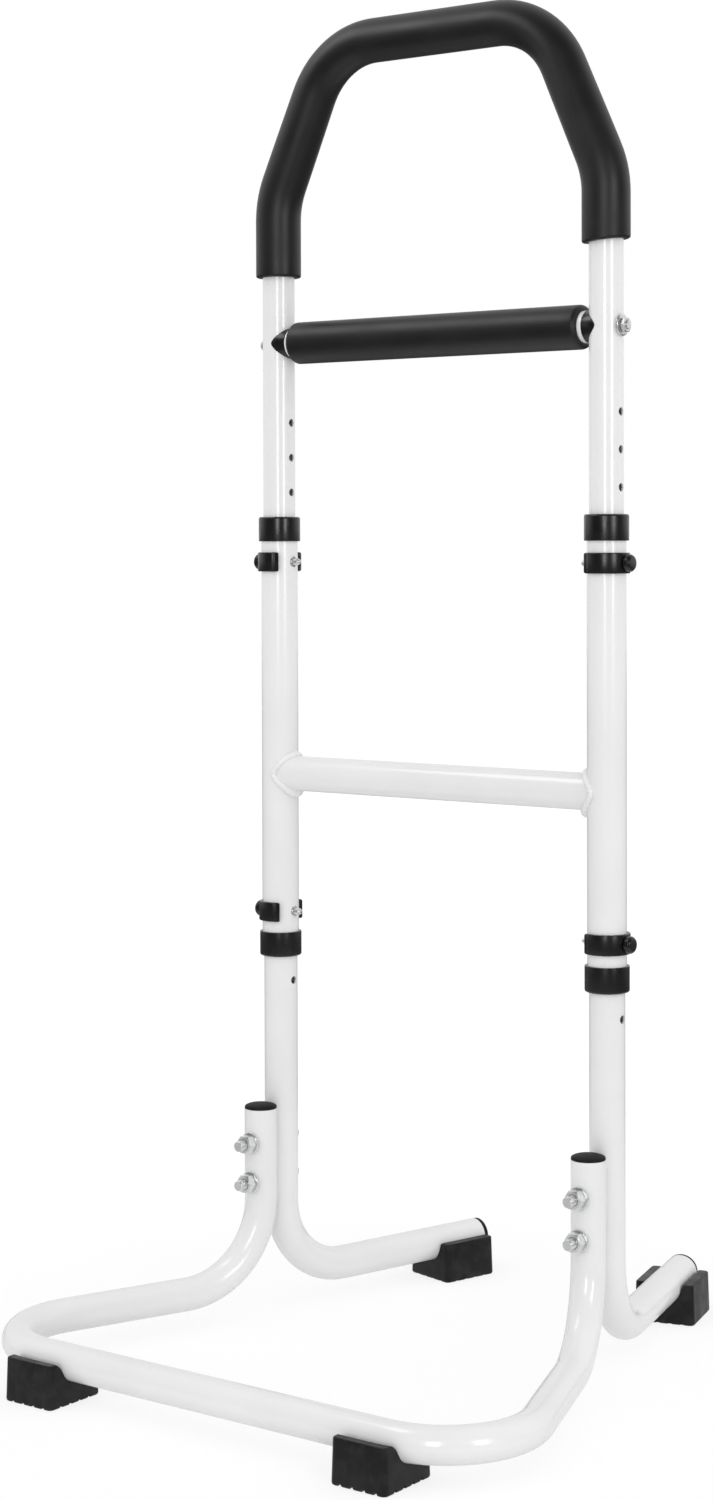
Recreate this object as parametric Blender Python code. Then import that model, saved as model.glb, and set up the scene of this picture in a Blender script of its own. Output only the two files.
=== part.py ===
"""Free-standing safety rail with telescoping legs, a padded top grip and a padded cross handle.

Metres, +Z up. X runs across the rail and the base opens towards -Y. The origin is on the floor, under the
middle of the base.
"""

import math
from collections import namedtuple

import bmesh
import bpy
from mathutils import Matrix, Vector

# Fits and mesh fineness
FIT_GAP = 0.0003
SIDES = 16
BORE_SIDES = 8
NUT_SIDES = 12
BEND_STEP = math.radians(18)
SHARP_ANGLE = math.radians(35)

# Tubes
LEG_SPACING = 0.299
POST_OD = 0.0285
POST_WALL = 0.0010
LOWER_PLAY = 0.0003
UPPER_PLAY = 0.00075
TUBE_WALL = 0.0012
BASE_OD = 0.025
CROSSBAR_OD = 0.027

# Heights: the base builds up from the floor, the handle down from the top
OVERALL_HEIGHT = 0.9997
ARCH_RISE = 0.1155
GRIP_STRAIGHT = 0.0499
GRIP_END_OFFSET = 0.009
GRIP_ABOVE_CROSS_HANDLE = 0.0516
CROSS_HANDLE_ABOVE_PIN = 0.1695
CROSSBAR_BELOW_MIDDLE = 0.02835
BASE_AXIS_HEIGHT = 0.028
BOLT_ABOVE_BEND = 0.0137
BASE_BOLT_PITCH = 0.0303
STUB_ABOVE_BOLT = 0.0255
LOWER_PIN_ABOVE_STUB = 0.1512

# Base, seen from above
FRONT_REACH = 0.267
FRONT_SPLAY = math.radians(20.6)
FRONT_BEND_RADIUS = 0.066
CORNER_BEND_RADIUS = 0.0625
REAR_REACH = 0.200
REAR_SPLAY = math.radians(15.0)
REAR_BEND_RADIUS = 0.059

# Upper handle
HANDLE_SLOPE = math.radians(24.4)
HANDLE_LOW_BEND = 0.070
HANDLE_TOP_BEND = 0.0635
GRIP_OD = 0.0344
GRIP_EDGE = 0.003

# Cross handle
CROSS_TUBE_OD = 0.0235
CROSS_GRIP_OD = 0.0323
CROSS_CAP_OD = 0.0245
CAP_WEB = 0.0015
CAP_SPIGOT = 0.010
BARE_RING = 0.0031

# Height adjustment
HOLE_PITCH = 0.027
UPPER_HOLES = 5
LOWER_HOLES = 3
PIN_OD = 0.0055
PIN_TIP_REACH = 0.0207
TUBE_END_BEYOND_PIN = 0.050
COLLAR_WALL = 0.00165
COLLAR_HEIGHT = 0.019
COLLAR_LIP = 0.003
COLLAR_EDGE = 0.002
PIN_TO_COLLAR = 0.016
CLIP_THICKNESS = 0.0023
CLIP_HEIGHT = 0.0149
CLIP_OPENING = math.radians(109)
CLIP_STEPS = 16
KNOB_OD = 0.0124
KNOB_LENGTH = 0.0053
KNOB_BORE_DEPTH = 0.0025
KNOB_EDGE = 0.0012

# Base bolts, M8
BASE_BOLT_OD = 0.008
BASE_HEAD_OD = 0.0125
BASE_HEAD_HEIGHT = 0.0035
BASE_BOLT_TIP = 0.007
BASE_NUT_FLATS = 0.013
BASE_NUT_HEIGHT = 0.0065
BASE_WASHER_OD = 0.017
BASE_WASHER_THICKNESS = 0.0016

# Tie bolt of the cross handle, M6
TIE_BOLT_OD = 0.006
TIE_HEAD_OD = 0.0105
TIE_HEAD_HEIGHT = 0.0033
TIE_BOLT_TIP = 0.0012
TIE_NUT_FLATS = 0.010
TIE_NUT_HEIGHT = 0.0032
TIE_WASHER_OD = 0.016
TIE_WASHER_THICKNESS = 0.0016

# Feet and plugs
FRONT_FOOT_LENGTH = 0.045
FRONT_FOOT_WIDTH = 0.052
REAR_FOOT_LENGTH = 0.051
REAR_FOOT_WIDTH = 0.048
FOOT_ABOVE_AXIS = 0.003
FOOT_CHAMFER = 0.0025
FOOT_FROM_CORNER = 0.0962
TREAD_COUNT = 4
TREAD_PITCH = 0.0095
TREAD_WIDTH = 0.0028
TREAD_DEPTH = 0.0025
PLUG_INSET = 0.0005
PLUG_LENGTH = 0.010
STUB_PLUG_DOME = 0.0042
REAR_PLUG_DOME = 0.0045
REAR_TUBE_SETBACK = 0.001

# Weld between crossbar and post
WELD_RADIUS = 0.0024
WELD_STANDOFF = 0.0008
WELD_SIDES = 6
WELD_STEPS = 24

# Sizes that follow from the ones above
HALF_SPACING = LEG_SPACING / 2
POST_R = POST_OD / 2
POST_BORE_R = POST_R - POST_WALL
LOWER_R = POST_BORE_R - LOWER_PLAY
UPPER_R = POST_BORE_R - UPPER_PLAY
BASE_R = BASE_OD / 2
BASE_BOLT_R = BASE_BOLT_OD / 2
TIE_BOLT_R = TIE_BOLT_OD / 2
PIN_R = PIN_OD / 2
BASE_BOLT_HEIGHT = BASE_AXIS_HEIGHT + max(FRONT_BEND_RADIUS, REAR_BEND_RADIUS) + BOLT_ABOVE_BEND
STUB_TOP_HEIGHT = BASE_BOLT_HEIGHT + BASE_BOLT_PITCH + STUB_ABOVE_BOLT
LOWER_PIN_HEIGHT = STUB_TOP_HEIGHT + LOWER_PIN_ABOVE_STUB
HANDLE_TOP_HEIGHT = OVERALL_HEIGHT - GRIP_OD / 2
HANDLE_BEND_HEIGHT = HANDLE_TOP_HEIGHT - ARCH_RISE
GRIP_RIGHT_END = HANDLE_BEND_HEIGHT - GRIP_STRAIGHT
GRIP_LEFT_END = GRIP_RIGHT_END - GRIP_END_OFFSET
CROSS_HANDLE_HEIGHT = GRIP_LEFT_END - GRIP_ABOVE_CROSS_HANDLE
UPPER_PIN_HEIGHT = CROSS_HANDLE_HEIGHT - CROSS_HANDLE_ABOVE_PIN
CROSSBAR_HEIGHT = (LOWER_PIN_HEIGHT + UPPER_PIN_HEIGHT) / 2 - CROSSBAR_BELOW_MIDDLE
STUB_OFFSET = LOWER_R + BASE_R + FIT_GAP
CORNER_X = HALF_SPACING + (FRONT_REACH - STUB_OFFSET) * math.tan(FRONT_SPLAY)
FRONT_FOOT_X = CORNER_X - FOOT_FROM_CORNER
FRONT_EXTENT = FRONT_REACH + FRONT_FOOT_WIDTH / 2
REAR_EXTENT = REAR_REACH * math.cos(REAR_SPLAY) + REAR_FOOT_WIDTH / 2 * math.sin(REAR_SPLAY)
LEG_Y = (FRONT_EXTENT - REAR_EXTENT) / 2
POST_TOP = UPPER_PIN_HEIGHT + PIN_TO_COLLAR + COLLAR_HEIGHT - COLLAR_LIP - FIT_GAP
POST_BOTTOM = LOWER_PIN_HEIGHT - PIN_TO_COLLAR - COLLAR_HEIGHT + COLLAR_LIP + FIT_GAP
CROSS_TUBE_END = HALF_SPACING - UPPER_R - FIT_GAP - CAP_WEB - FIT_GAP
SIDE_NAMES = {"left": -1, "right": 1}

Fastener = namedtuple(
    "Fastener", "bolt_r head_r head_height tip nut_flats nut_height washer_r washer_thickness"
)
BASE_FASTENER = Fastener(
    BASE_BOLT_R,
    BASE_HEAD_OD / 2,
    BASE_HEAD_HEIGHT,
    BASE_BOLT_TIP,
    BASE_NUT_FLATS,
    BASE_NUT_HEIGHT,
    BASE_WASHER_OD / 2,
    BASE_WASHER_THICKNESS,
)
TIE_FASTENER = Fastener(
    TIE_BOLT_R,
    TIE_HEAD_OD / 2,
    TIE_HEAD_HEIGHT,
    TIE_BOLT_TIP,
    TIE_NUT_FLATS,
    TIE_NUT_HEIGHT,
    TIE_WASHER_OD / 2,
    TIE_WASHER_THICKNESS,
)


def clear_scene():
    for obj in list(bpy.data.objects):
        bpy.data.objects.remove(obj, do_unlink=True)


def make_material(name, colour, roughness, metallic=0.0):
    material = bpy.data.materials.new(name)
    material.use_nodes = True
    shader = material.node_tree.nodes["Principled BSDF"]
    shader.inputs["Base Color"].default_value = (*colour, 1.0)
    shader.inputs["Roughness"].default_value = roughness
    shader.inputs["Metallic"].default_value = metallic
    return material


def add_empty(name, place, parent=None):
    empty = bpy.data.objects.new(name, None)
    empty.empty_display_size = 0.02
    bpy.context.collection.objects.link(empty)
    if parent:
        empty.parent = parent
        empty.matrix_parent_inverse = Matrix.Translation(-parent.location)
    empty.location = place
    bpy.context.view_layer.update()
    return empty


def add_object(name, bm, material=None, parent=None, matrix=None):
    bmesh.ops.recalc_face_normals(bm, faces=bm.faces)
    mesh = bpy.data.meshes.new(name)
    bm.to_mesh(mesh)
    bm.free()
    mesh.shade_smooth()
    mesh.set_sharp_from_angle(angle=SHARP_ANGLE)
    obj = bpy.data.objects.new(name, mesh)
    bpy.context.collection.objects.link(obj)
    if material:
        mesh.materials.append(material)
    if parent:
        obj.parent = parent
        obj.matrix_parent_inverse = parent.matrix_world.inverted()
    if matrix:
        obj.matrix_world = matrix
    return obj


def combine(obj, tool, operation="DIFFERENCE"):
    """Cuts a tool shape out of an object, or joins it on."""
    tool.hide_render = True
    tool.display_type = "WIRE"
    modifier = obj.modifiers.new(tool.name, "BOOLEAN")
    modifier.operation = operation
    modifier.object = tool
    return obj


def facing(place, direction):
    """A placement whose local Z points along a direction."""
    return Matrix.Translation(place) @ Vector(direction).to_track_quat("Z", "Y").to_matrix().to_4x4()


def route(points, radii):
    """Places and directions along straight runs that are joined by arcs."""
    points = [Vector(p) for p in points]
    stations = [(points[0], (points[1] - points[0]).normalized())]
    for before, corner, after, radius in zip(points, points[1:], points[2:], radii):
        come = (corner - before).normalized()
        leave = (after - corner).normalized()
        turn = come.angle(leave)
        axis = come.cross(leave).normalized()
        start = corner - come * radius * math.tan(turn / 2)
        centre = start + axis.cross(come) * radius
        steps = math.ceil(turn / BEND_STEP)
        for i in range(steps + 1):
            spin = Matrix.Rotation(turn * i / steps, 3, axis)
            stations.append((centre + spin @ (start - centre), spin @ come))
    stations.append((points[-1], (points[-1] - points[-2]).normalized()))
    return stations


def round_ends(stations, radius, edge):
    """Adds stations that round both ends of a sleeve, and the radius at every station."""
    steps = [math.radians(angle) for angle in (0, 30, 60, 90)]
    first, last = stations[0], stations[-1]
    opening = [(first[0] + first[1] * edge * (1 - math.cos(a)), first[1]) for a in steps]
    closing = [(last[0] - last[1] * edge * (1 - math.cos(a)), last[1]) for a in reversed(steps)]
    rise = [radius - edge * (1 - math.sin(a)) for a in steps]
    middle = stations[1:-1]
    return opening + middle + closing, rise + [radius] * len(middle) + rise[::-1]


def rings(bm, stations, radii, side, count):
    """Rings of vertices along a route, turned no more than the route itself turns."""
    made = []
    across = Vector(side)
    direction = stations[0][1]
    for (place, heading), radius in zip(stations, radii):
        across = direction.rotation_difference(heading) @ across
        direction = heading
        third = heading.cross(across)
        ring = []
        for i in range(count):
            angle = 2 * math.pi * i / count
            ring.append(bm.verts.new(place + radius * (math.cos(angle) * across + math.sin(angle) * third)))
        made.append(ring)
    return made


def bridge(bm, one, other):
    count = len(one)
    for i in range(count):
        j = (i + 1) % count
        bm.faces.new((one[i], one[j], other[j], other[i]))


def pipe(stations, outer, inner=None, side=(1, 0, 0), count=SIDES):
    """A tube along a route; with no inner radius it is solid."""
    bm = bmesh.new()
    radii = outer if isinstance(outer, list) else [outer] * len(stations)
    skin = rings(bm, stations, radii, side, count)
    for one, other in zip(skin, skin[1:]):
        bridge(bm, one, other)
    if inner is None:
        bm.faces.new(skin[0])
        bm.faces.new(skin[-1])
        return bm
    bore = rings(bm, stations, [inner] * len(stations), side, count)
    for one, other in zip(bore, bore[1:]):
        bridge(bm, one, other)
    bridge(bm, skin[0], bore[0])
    bridge(bm, skin[-1], bore[-1])
    return bm


def straight(start, end):
    start, end = Vector(start), Vector(end)
    heading = (end - start).normalized()
    return [(start, heading), (end, heading)]


def turned(profile, count=SIDES, hollow=False):
    """A turned piece about local Z from (radius, height) points; a hollow one has a profile that closes."""
    bm = bmesh.new()
    loops = []
    for radius, height in profile:
        if radius == 0:
            loops.append([bm.verts.new((0, 0, height))])
            continue
        angles = [2 * math.pi * i / count for i in range(count)]
        loops.append([bm.verts.new((radius * math.cos(a), radius * math.sin(a), height)) for a in angles])
    pairs = list(zip(loops, loops[1:]))
    if hollow:
        pairs.append((loops[-1], loops[0]))
    for one, other in pairs:
        if len(one) == len(other) == 1:
            continue
        if len(one) == 1 or len(other) == 1:
            tip, ring = (one[0], other) if len(one) == 1 else (other[0], one)
            for i in range(count):
                bm.faces.new((ring[i], ring[(i + 1) % count], tip))
        else:
            bridge(bm, one, other)
    return bm


def rods(name, placed, radius):
    """A cutter made of rods, each given by its two ends; the radius is measured to the flats."""
    bm = bmesh.new()
    corner_r = radius / math.cos(math.pi / BORE_SIDES)
    for start, end in placed:
        side = (end - start).orthogonal().normalized()
        part = pipe(straight(start, end), corner_r, None, side, BORE_SIDES)
        mesh = bpy.data.meshes.new(name)
        part.to_mesh(mesh)
        part.free()
        bm.from_mesh(mesh)
        bpy.data.meshes.remove(mesh)
    return add_object(name, bm)


def cross_rod(x, height, radius):
    """The two ends of a rod along X through a leg."""
    return Vector((x - 2 * radius, LEG_Y, height)), Vector((x + 2 * radius, LEG_Y, height))


def pin_heights(first, count, step):
    return [first + step * i for i in range(count)]


def handle_points(left_end, right_end):
    run = (HANDLE_TOP_HEIGHT - HANDLE_BEND_HEIGHT) * math.tan(HANDLE_SLOPE)
    inner = HALF_SPACING - run
    return [
        (-HALF_SPACING, LEG_Y, left_end),
        (-HALF_SPACING, LEG_Y, HANDLE_BEND_HEIGHT),
        (-inner, LEG_Y, HANDLE_TOP_HEIGHT),
        (inner, LEG_Y, HANDLE_TOP_HEIGHT),
        (HALF_SPACING, LEG_Y, HANDLE_BEND_HEIGHT),
        (HALF_SPACING, LEG_Y, right_end),
    ]


HANDLE_RADII = [HANDLE_LOW_BEND, HANDLE_TOP_BEND, HANDLE_TOP_BEND, HANDLE_LOW_BEND]


def build_upper_handle(material, parent):
    end = UPPER_PIN_HEIGHT - TUBE_END_BEYOND_PIN
    stations = route(handle_points(end, end), HANDLE_RADII)
    tube = add_object("upper_handle_tube", pipe(stations, UPPER_R, UPPER_R - TUBE_WALL), material, parent)
    heights = pin_heights(UPPER_PIN_HEIGHT, UPPER_HOLES, HOLE_PITCH)
    sides = SIDE_NAMES.values()
    holes = [cross_rod(s * HALF_SPACING, z, UPPER_R) for s in sides for z in heights]
    combine(tube, rods("upper_adjusting_holes", holes, PIN_R + FIT_GAP))
    bolt_way = [cross_rod(s * HALF_SPACING, CROSS_HANDLE_HEIGHT, UPPER_R) for s in sides]
    combine(tube, rods("tie_bolt_holes", bolt_way, TIE_BOLT_R + FIT_GAP))


def build_top_grip(material, parent):
    stations = route(handle_points(GRIP_LEFT_END, GRIP_RIGHT_END), HANDLE_RADII)
    stations, radii = round_ends(stations, GRIP_OD / 2, GRIP_EDGE)
    add_object("top_foam_grip", pipe(stations, radii, UPPER_R + FIT_GAP), material, parent)


def build_cross_handle(materials, parent):
    """Foam-covered tube between the upper legs, with saddle caps and one long tie bolt through all of it."""
    place = Vector((0, LEG_Y, CROSS_HANDLE_HEIGHT))
    end = Vector((CROSS_TUBE_END, 0, 0))
    tube_r = CROSS_TUBE_OD / 2
    up = (0, 0, 1)
    bm = pipe(straight(place - end, place + end), tube_r, tube_r - TUBE_WALL, up)
    add_object("cross_handle_tube", bm, materials["steel_white"], parent)
    grip_end = Vector((CROSS_TUBE_END - BARE_RING, 0, 0))
    stations, radii = round_ends(straight(place - grip_end, place + grip_end), CROSS_GRIP_OD / 2, GRIP_EDGE)
    bm = pipe(stations, radii, tube_r + FIT_GAP, up)
    add_object("cross_foam_grip", bm, materials["foam"], parent)
    cap_r = CROSS_CAP_OD / 2
    spigot_r = tube_r - TUBE_WALL - FIT_GAP
    bore_r = TIE_BOLT_R + FIT_GAP
    reach = HALF_SPACING - CROSS_TUBE_END - FIT_GAP
    profile = [
        (bore_r, -CAP_SPIGOT),
        (spigot_r, -CAP_SPIGOT),
        (spigot_r, 0),
        (cap_r, 0),
        (cap_r, reach),
        (bore_r, reach),
    ]
    for name, s in SIDE_NAMES.items():
        matrix = facing(place + Vector((s * (CROSS_TUBE_END + FIT_GAP), 0, 0)), (s, 0, 0))
        bm = turned(profile, hollow=True)
        cap = add_object(f"cross_end_cap_{name}", bm, materials["plastic"], parent, matrix)
        leg = Vector((s * HALF_SPACING, LEG_Y, 0))
        low = leg + Vector((0, 0, CROSS_HANDLE_HEIGHT - CROSS_CAP_OD))
        high = leg + Vector((0, 0, CROSS_HANDLE_HEIGHT + CROSS_CAP_OD))
        cope = pipe(straight(low, high), UPPER_R + FIT_GAP)
        combine(cap, add_object(f"cap_cope_{name}", cope))


def bolt_profile(size, grip):
    """Dome-headed bolt about local Z: the head's seat at 0, the shank along +Z past the grip length."""
    end = grip + size.tip
    taper = min(size.tip, size.bolt_r) * 0.7
    return [
        (0, -size.head_height),
        (size.head_r * 0.55, -size.head_height * 0.85),
        (size.head_r * 0.9, -size.head_height * 0.45),
        (size.head_r, 0),
        (size.bolt_r, 0),
        (size.bolt_r, end - taper),
        (size.bolt_r - taper * 0.6, end),
        (0, end),
    ]


def nut(size):
    """Hexagon nut about local Z with a round bore."""
    bore_r = size.bolt_r + FIT_GAP
    half = size.nut_flats / 2
    sixth = math.pi / 3
    rows = []
    bm = bmesh.new()
    for height in (0, size.nut_height):
        outer, inner = [], []
        for i in range(NUT_SIDES):
            angle = 2 * math.pi * i / NUT_SIDES
            reach = half / math.cos(angle % sixth - sixth / 2)
            spoke = Vector((math.cos(angle), math.sin(angle), 0))
            rise = Vector((0, 0, height))
            outer.append(bm.verts.new(spoke * reach + rise))
            inner.append(bm.verts.new(spoke * bore_r + rise))
        rows.append((outer, inner))
    (low_out, low_in), (high_out, high_in) = rows
    bridge(bm, low_out, high_out)
    bridge(bm, low_in, high_in)
    bridge(bm, low_out, low_in)
    bridge(bm, high_out, high_in)
    return bm


def washer(size):
    bore_r = size.bolt_r + FIT_GAP
    top = size.washer_thickness
    profile = [(bore_r, 0), (size.washer_r, 0), (size.washer_r, top), (bore_r, top)]
    return turned(profile, 2 * BORE_SIDES, hollow=True)


def add_fastener(name, size, seat, direction, grip, material, parent):
    """A bolt with its washer and nut; seat is where the head bears, grip what it clamps."""
    axis, seat = Vector(direction), Vector(seat)
    washer_at = grip + FIT_GAP
    nut_at = washer_at + size.washer_thickness + FIT_GAP
    head_at = -FIT_GAP
    bolt = turned(bolt_profile(size, nut_at + size.nut_height - head_at), 2 * BORE_SIDES)
    add_object(f"{name}_bolt", bolt, material, parent, facing(seat + axis * head_at, axis))
    add_object(f"{name}_washer", washer(size), material, parent, facing(seat + axis * washer_at, axis))
    add_object(f"{name}_nut", nut(size), material, parent, facing(seat + axis * nut_at, axis))


def build_tie_bolt(material, parent):
    outside = HALF_SPACING + UPPER_R
    seat = (-outside, LEG_Y, CROSS_HANDLE_HEIGHT)
    add_fastener("cross_tie", TIE_FASTENER, seat, (1, 0, 0), 2 * outside, material, parent)


def build_middle_frame(material, parent):
    """Two posts and the crossbar that is welded between them."""
    for name, s in SIDE_NAMES.items():
        low, high = (Vector((s * HALF_SPACING, LEG_Y, z)) for z in (POST_BOTTOM, POST_TOP))
        post = add_object(f"post_{name}", pipe(straight(low, high), POST_R, POST_BORE_R), material, parent)
        heights = (LOWER_PIN_HEIGHT, UPPER_PIN_HEIGHT)
        holes = [cross_rod(s * HALF_SPACING, z, POST_R) for z in heights]
        combine(post, rods(f"post_{name}_holes", holes, PIN_R + FIT_GAP))
    left, right = (Vector((s * HALF_SPACING, LEG_Y, CROSSBAR_HEIGHT)) for s in SIDE_NAMES.values())
    bar_r = CROSSBAR_OD / 2
    bm = pipe(straight(left, right), bar_r, bar_r - TUBE_WALL, (0, 0, 1))
    bar = add_object("frame_crossbar", bm, material, parent)
    for name, s in SIDE_NAMES.items():
        combine(bar, add_object(f"weld_{name}", weld_bead(s)), "UNION")
    for name, s in SIDE_NAMES.items():
        low, high = (Vector((s * HALF_SPACING, LEG_Y, CROSSBAR_HEIGHT + up * CROSSBAR_OD)) for up in (-1, 1))
        combine(bar, add_object(f"bar_cope_{name}", pipe(straight(low, high), POST_R + FIT_GAP)))


def weld_bead(s):
    """A closed bead round the crossbar where it meets a post."""
    around_bar = CROSSBAR_OD / 2 + WELD_STANDOFF
    around_post = POST_R + WELD_STANDOFF
    places = []
    for i in range(WELD_STEPS):
        angle = 2 * math.pi * i / WELD_STEPS
        y, z = around_bar * math.cos(angle), around_bar * math.sin(angle)
        x = HALF_SPACING - math.sqrt(around_post**2 - y**2)
        places.append(Vector((s * x, LEG_Y + y, CROSSBAR_HEIGHT + z)))
    bm = bmesh.new()
    loops = []
    centre = Vector((s * HALF_SPACING, LEG_Y, CROSSBAR_HEIGHT))
    for i, place in enumerate(places):
        heading = (places[(i + 1) % WELD_STEPS] - places[i - 1]).normalized()
        out = place - centre
        across = (out - heading * out.dot(heading)).normalized()
        third = heading.cross(across)
        angles = [2 * math.pi * k / WELD_SIDES for k in range(WELD_SIDES)]
        points = [place + WELD_RADIUS * (math.cos(a) * across + math.sin(a) * third) for a in angles]
        loops.append([bm.verts.new(p) for p in points])
    for one, other in zip(loops, loops[1:] + loops[:1]):
        bridge(bm, one, other)
    return bm


def build_collar(name, s, pin_height, up, tube_r, material, parent):
    """Sleeve over a post's end, with a lip that guides the tube which slides in it."""
    outer = POST_R + FIT_GAP + COLLAR_WALL
    seat = POST_R + FIT_GAP
    lip = tube_r + FIT_GAP
    top = COLLAR_HEIGHT
    profile = [
        (seat, 0),
        (outer, 0),
        (outer, top - COLLAR_EDGE),
        (outer - COLLAR_EDGE * 0.3, top - COLLAR_EDGE * 0.3),
        (outer - COLLAR_EDGE, top),
        (lip, top),
        (lip, top - COLLAR_LIP),
        (seat, top - COLLAR_LIP),
    ]
    place = Vector((s * HALF_SPACING, LEG_Y, pin_height + up * PIN_TO_COLLAR))
    matrix = Matrix.Translation(place) @ Matrix.Diagonal((1, 1, up, 1))
    bm = turned(profile, hollow=True)
    bm.transform(matrix)
    add_object(name, bm, material, parent)


def clip_band():
    """C-shaped band about local Z, open towards -X."""
    bm = bmesh.new()
    inner = POST_R + FIT_GAP
    outer = inner + CLIP_THICKNESS
    half = math.pi - CLIP_OPENING / 2
    loops = []
    for i in range(CLIP_STEPS + 1):
        angle = -half + 2 * half * i / CLIP_STEPS
        corners = [(inner, -1), (outer, -1), (outer, 1), (inner, 1)]
        points = [(r * math.cos(angle), r * math.sin(angle), up * CLIP_HEIGHT / 2) for r, up in corners]
        loops.append([bm.verts.new(p) for p in points])
    for one, other in zip(loops, loops[1:]):
        bridge(bm, one, other)
    bm.faces.new(loops[0])
    bm.faces.new(loops[-1])
    return bm


def build_clip(name, s, height, materials, frame):
    """Snap clip: a springy band round the post, and a steel pin with a knob on the rail's outer side."""
    place = Vector((s * HALF_SPACING, LEG_Y, height))
    empty = add_empty(f"clip_{name}", place, frame)
    spin = Matrix.Translation(place) @ Matrix.Rotation(0 if s > 0 else math.pi, 4, "Z")
    band = add_object(f"clip_band_{name}", clip_band(), materials["plastic"], empty, spin)
    band_outer = POST_R + FIT_GAP + CLIP_THICKNESS
    out = Vector((s, 0, 0))
    hole = [(place, place + out * (band_outer + CLIP_THICKNESS))]
    combine(band, rods(f"clip_hole_{name}", hole, PIN_R + FIT_GAP))
    knob_r = KNOB_OD / 2
    bore = PIN_R + FIT_GAP
    profile = [
        (bore, 0),
        (knob_r, 0),
        (knob_r, KNOB_LENGTH - KNOB_EDGE),
        (knob_r - KNOB_EDGE, KNOB_LENGTH),
        (0, KNOB_LENGTH),
        (0, KNOB_BORE_DEPTH),
        (bore, KNOB_BORE_DEPTH),
    ]
    knob_at = band_outer + FIT_GAP
    knob = turned(profile, 2 * BORE_SIDES, hollow=True)
    add_object(f"clip_knob_{name}", knob, materials["plastic"], empty, facing(place + out * knob_at, out))
    length = PIN_TIP_REACH + knob_at + KNOB_BORE_DEPTH - FIT_GAP
    shape = [
        (0, 0),
        (PIN_R * 0.6, PIN_R * 0.2),
        (PIN_R, PIN_R),
        (PIN_R, length),
        (0, length),
    ]
    pin = turned(shape, 2 * BORE_SIDES)
    add_object(f"clip_pin_{name}", pin, materials["zinc"], empty, facing(place - out * PIN_TIP_REACH, out))


def base_points():
    stub_y, floor = LEG_Y - STUB_OFFSET, BASE_AXIS_HEIGHT
    half = [
        (HALF_SPACING, stub_y, STUB_TOP_HEIGHT),
        (HALF_SPACING, stub_y, floor),
        (CORNER_X, LEG_Y - FRONT_REACH, floor),
    ]
    return [(-x, y, z) for x, y, z in half] + half[::-1]


BASE_RADII = [FRONT_BEND_RADIUS, CORNER_BEND_RADIUS, CORNER_BEND_RADIUS, FRONT_BEND_RADIUS]


def bolt_heights():
    return [BASE_BOLT_HEIGHT, BASE_BOLT_HEIGHT + BASE_BOLT_PITCH]


def base_bolt_rods(y):
    """Rods along Y through both uprights at the base bolts' places."""
    reach = Vector((0, BASE_OD, 0))
    places = [Vector((s * HALF_SPACING, y, z)) for s in SIDE_NAMES.values() for z in bolt_heights()]
    return [(p - reach, p + reach) for p in places]


def build_front_base(material, parent):
    bm = pipe(route(base_points(), BASE_RADII), BASE_R, BASE_R - TUBE_WALL)
    tube = add_object("front_base_tube", bm, material, parent)
    holes = base_bolt_rods(LEG_Y - STUB_OFFSET)
    combine(tube, rods("stub_bolt_holes", holes, BASE_BOLT_R + FIT_GAP))


def rear_heading(s):
    return Vector((-s * math.sin(REAR_SPLAY), math.cos(REAR_SPLAY), 0))


def rear_points(s, reach=REAR_REACH - REAR_TUBE_SETBACK):
    x, floor = s * HALF_SPACING, BASE_AXIS_HEIGHT
    turn = Vector((x, LEG_Y, floor))
    return [(x, LEG_Y, LOWER_PIN_HEIGHT + TUBE_END_BEYOND_PIN), turn, turn + rear_heading(s) * reach]


def build_rear_leg(name, s, material, parent):
    bm = pipe(route(rear_points(s), [REAR_BEND_RADIUS]), LOWER_R, LOWER_R - TUBE_WALL)
    leg = add_object(f"rear_leg_{name}", bm, material, parent)
    heights = pin_heights(LOWER_PIN_HEIGHT, LOWER_HOLES, -HOLE_PITCH)
    holes = [cross_rod(s * HALF_SPACING, z, LOWER_R) for z in heights]
    combine(leg, rods(f"rear_leg_{name}_pin_holes", holes, PIN_R + FIT_GAP))
    bolt_holes = base_bolt_rods(LEG_Y)
    combine(leg, rods(f"rear_leg_{name}_bolt_holes", bolt_holes, BASE_BOLT_R + FIT_GAP))


def build_plug(name, place, heading, tube_r, dome, material, parent):
    """Push-in plug for a tube end: a flange outside and a body in the bore."""
    flange_r = tube_r - PLUG_INSET
    body_r = tube_r - TUBE_WALL - FIT_GAP
    profile = [
        (0, -PLUG_LENGTH),
        (body_r, -PLUG_LENGTH),
        (body_r, FIT_GAP),
        (flange_r, FIT_GAP),
        (flange_r, dome * 0.5),
        (flange_r * 0.85, dome * 0.85),
        (flange_r * 0.5, dome),
        (0, dome),
    ]
    add_object(name, turned(profile), material, parent, facing(place, heading))


def foot_block(length, width):
    """Foot along local X with chamfered edges, its sole at 0 and its walls up past the tube's axis."""
    half, top, cut = width / 2, BASE_AXIS_HEIGHT + FOOT_ABOVE_AXIS, FOOT_CHAMFER
    outline = [
        (-half + cut, 0),
        (half - cut, 0),
        (half, cut),
        (half, top - cut),
        (half - cut, top),
        (-half + cut, top),
        (-half, top - cut),
        (-half, cut),
    ]
    bm = bmesh.new()
    ends = [[bm.verts.new((x, y, z)) for y, z in outline] for x in (-length / 2, length / 2)]
    bridge(bm, *ends)
    bm.faces.new(ends[0])
    bm.faces.new(ends[1])
    return bm


def spread(count, pitch):
    """Places of evenly spaced copies about the middle."""
    return [(i - (count - 1) / 2) * pitch for i in range(count)]


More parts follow.
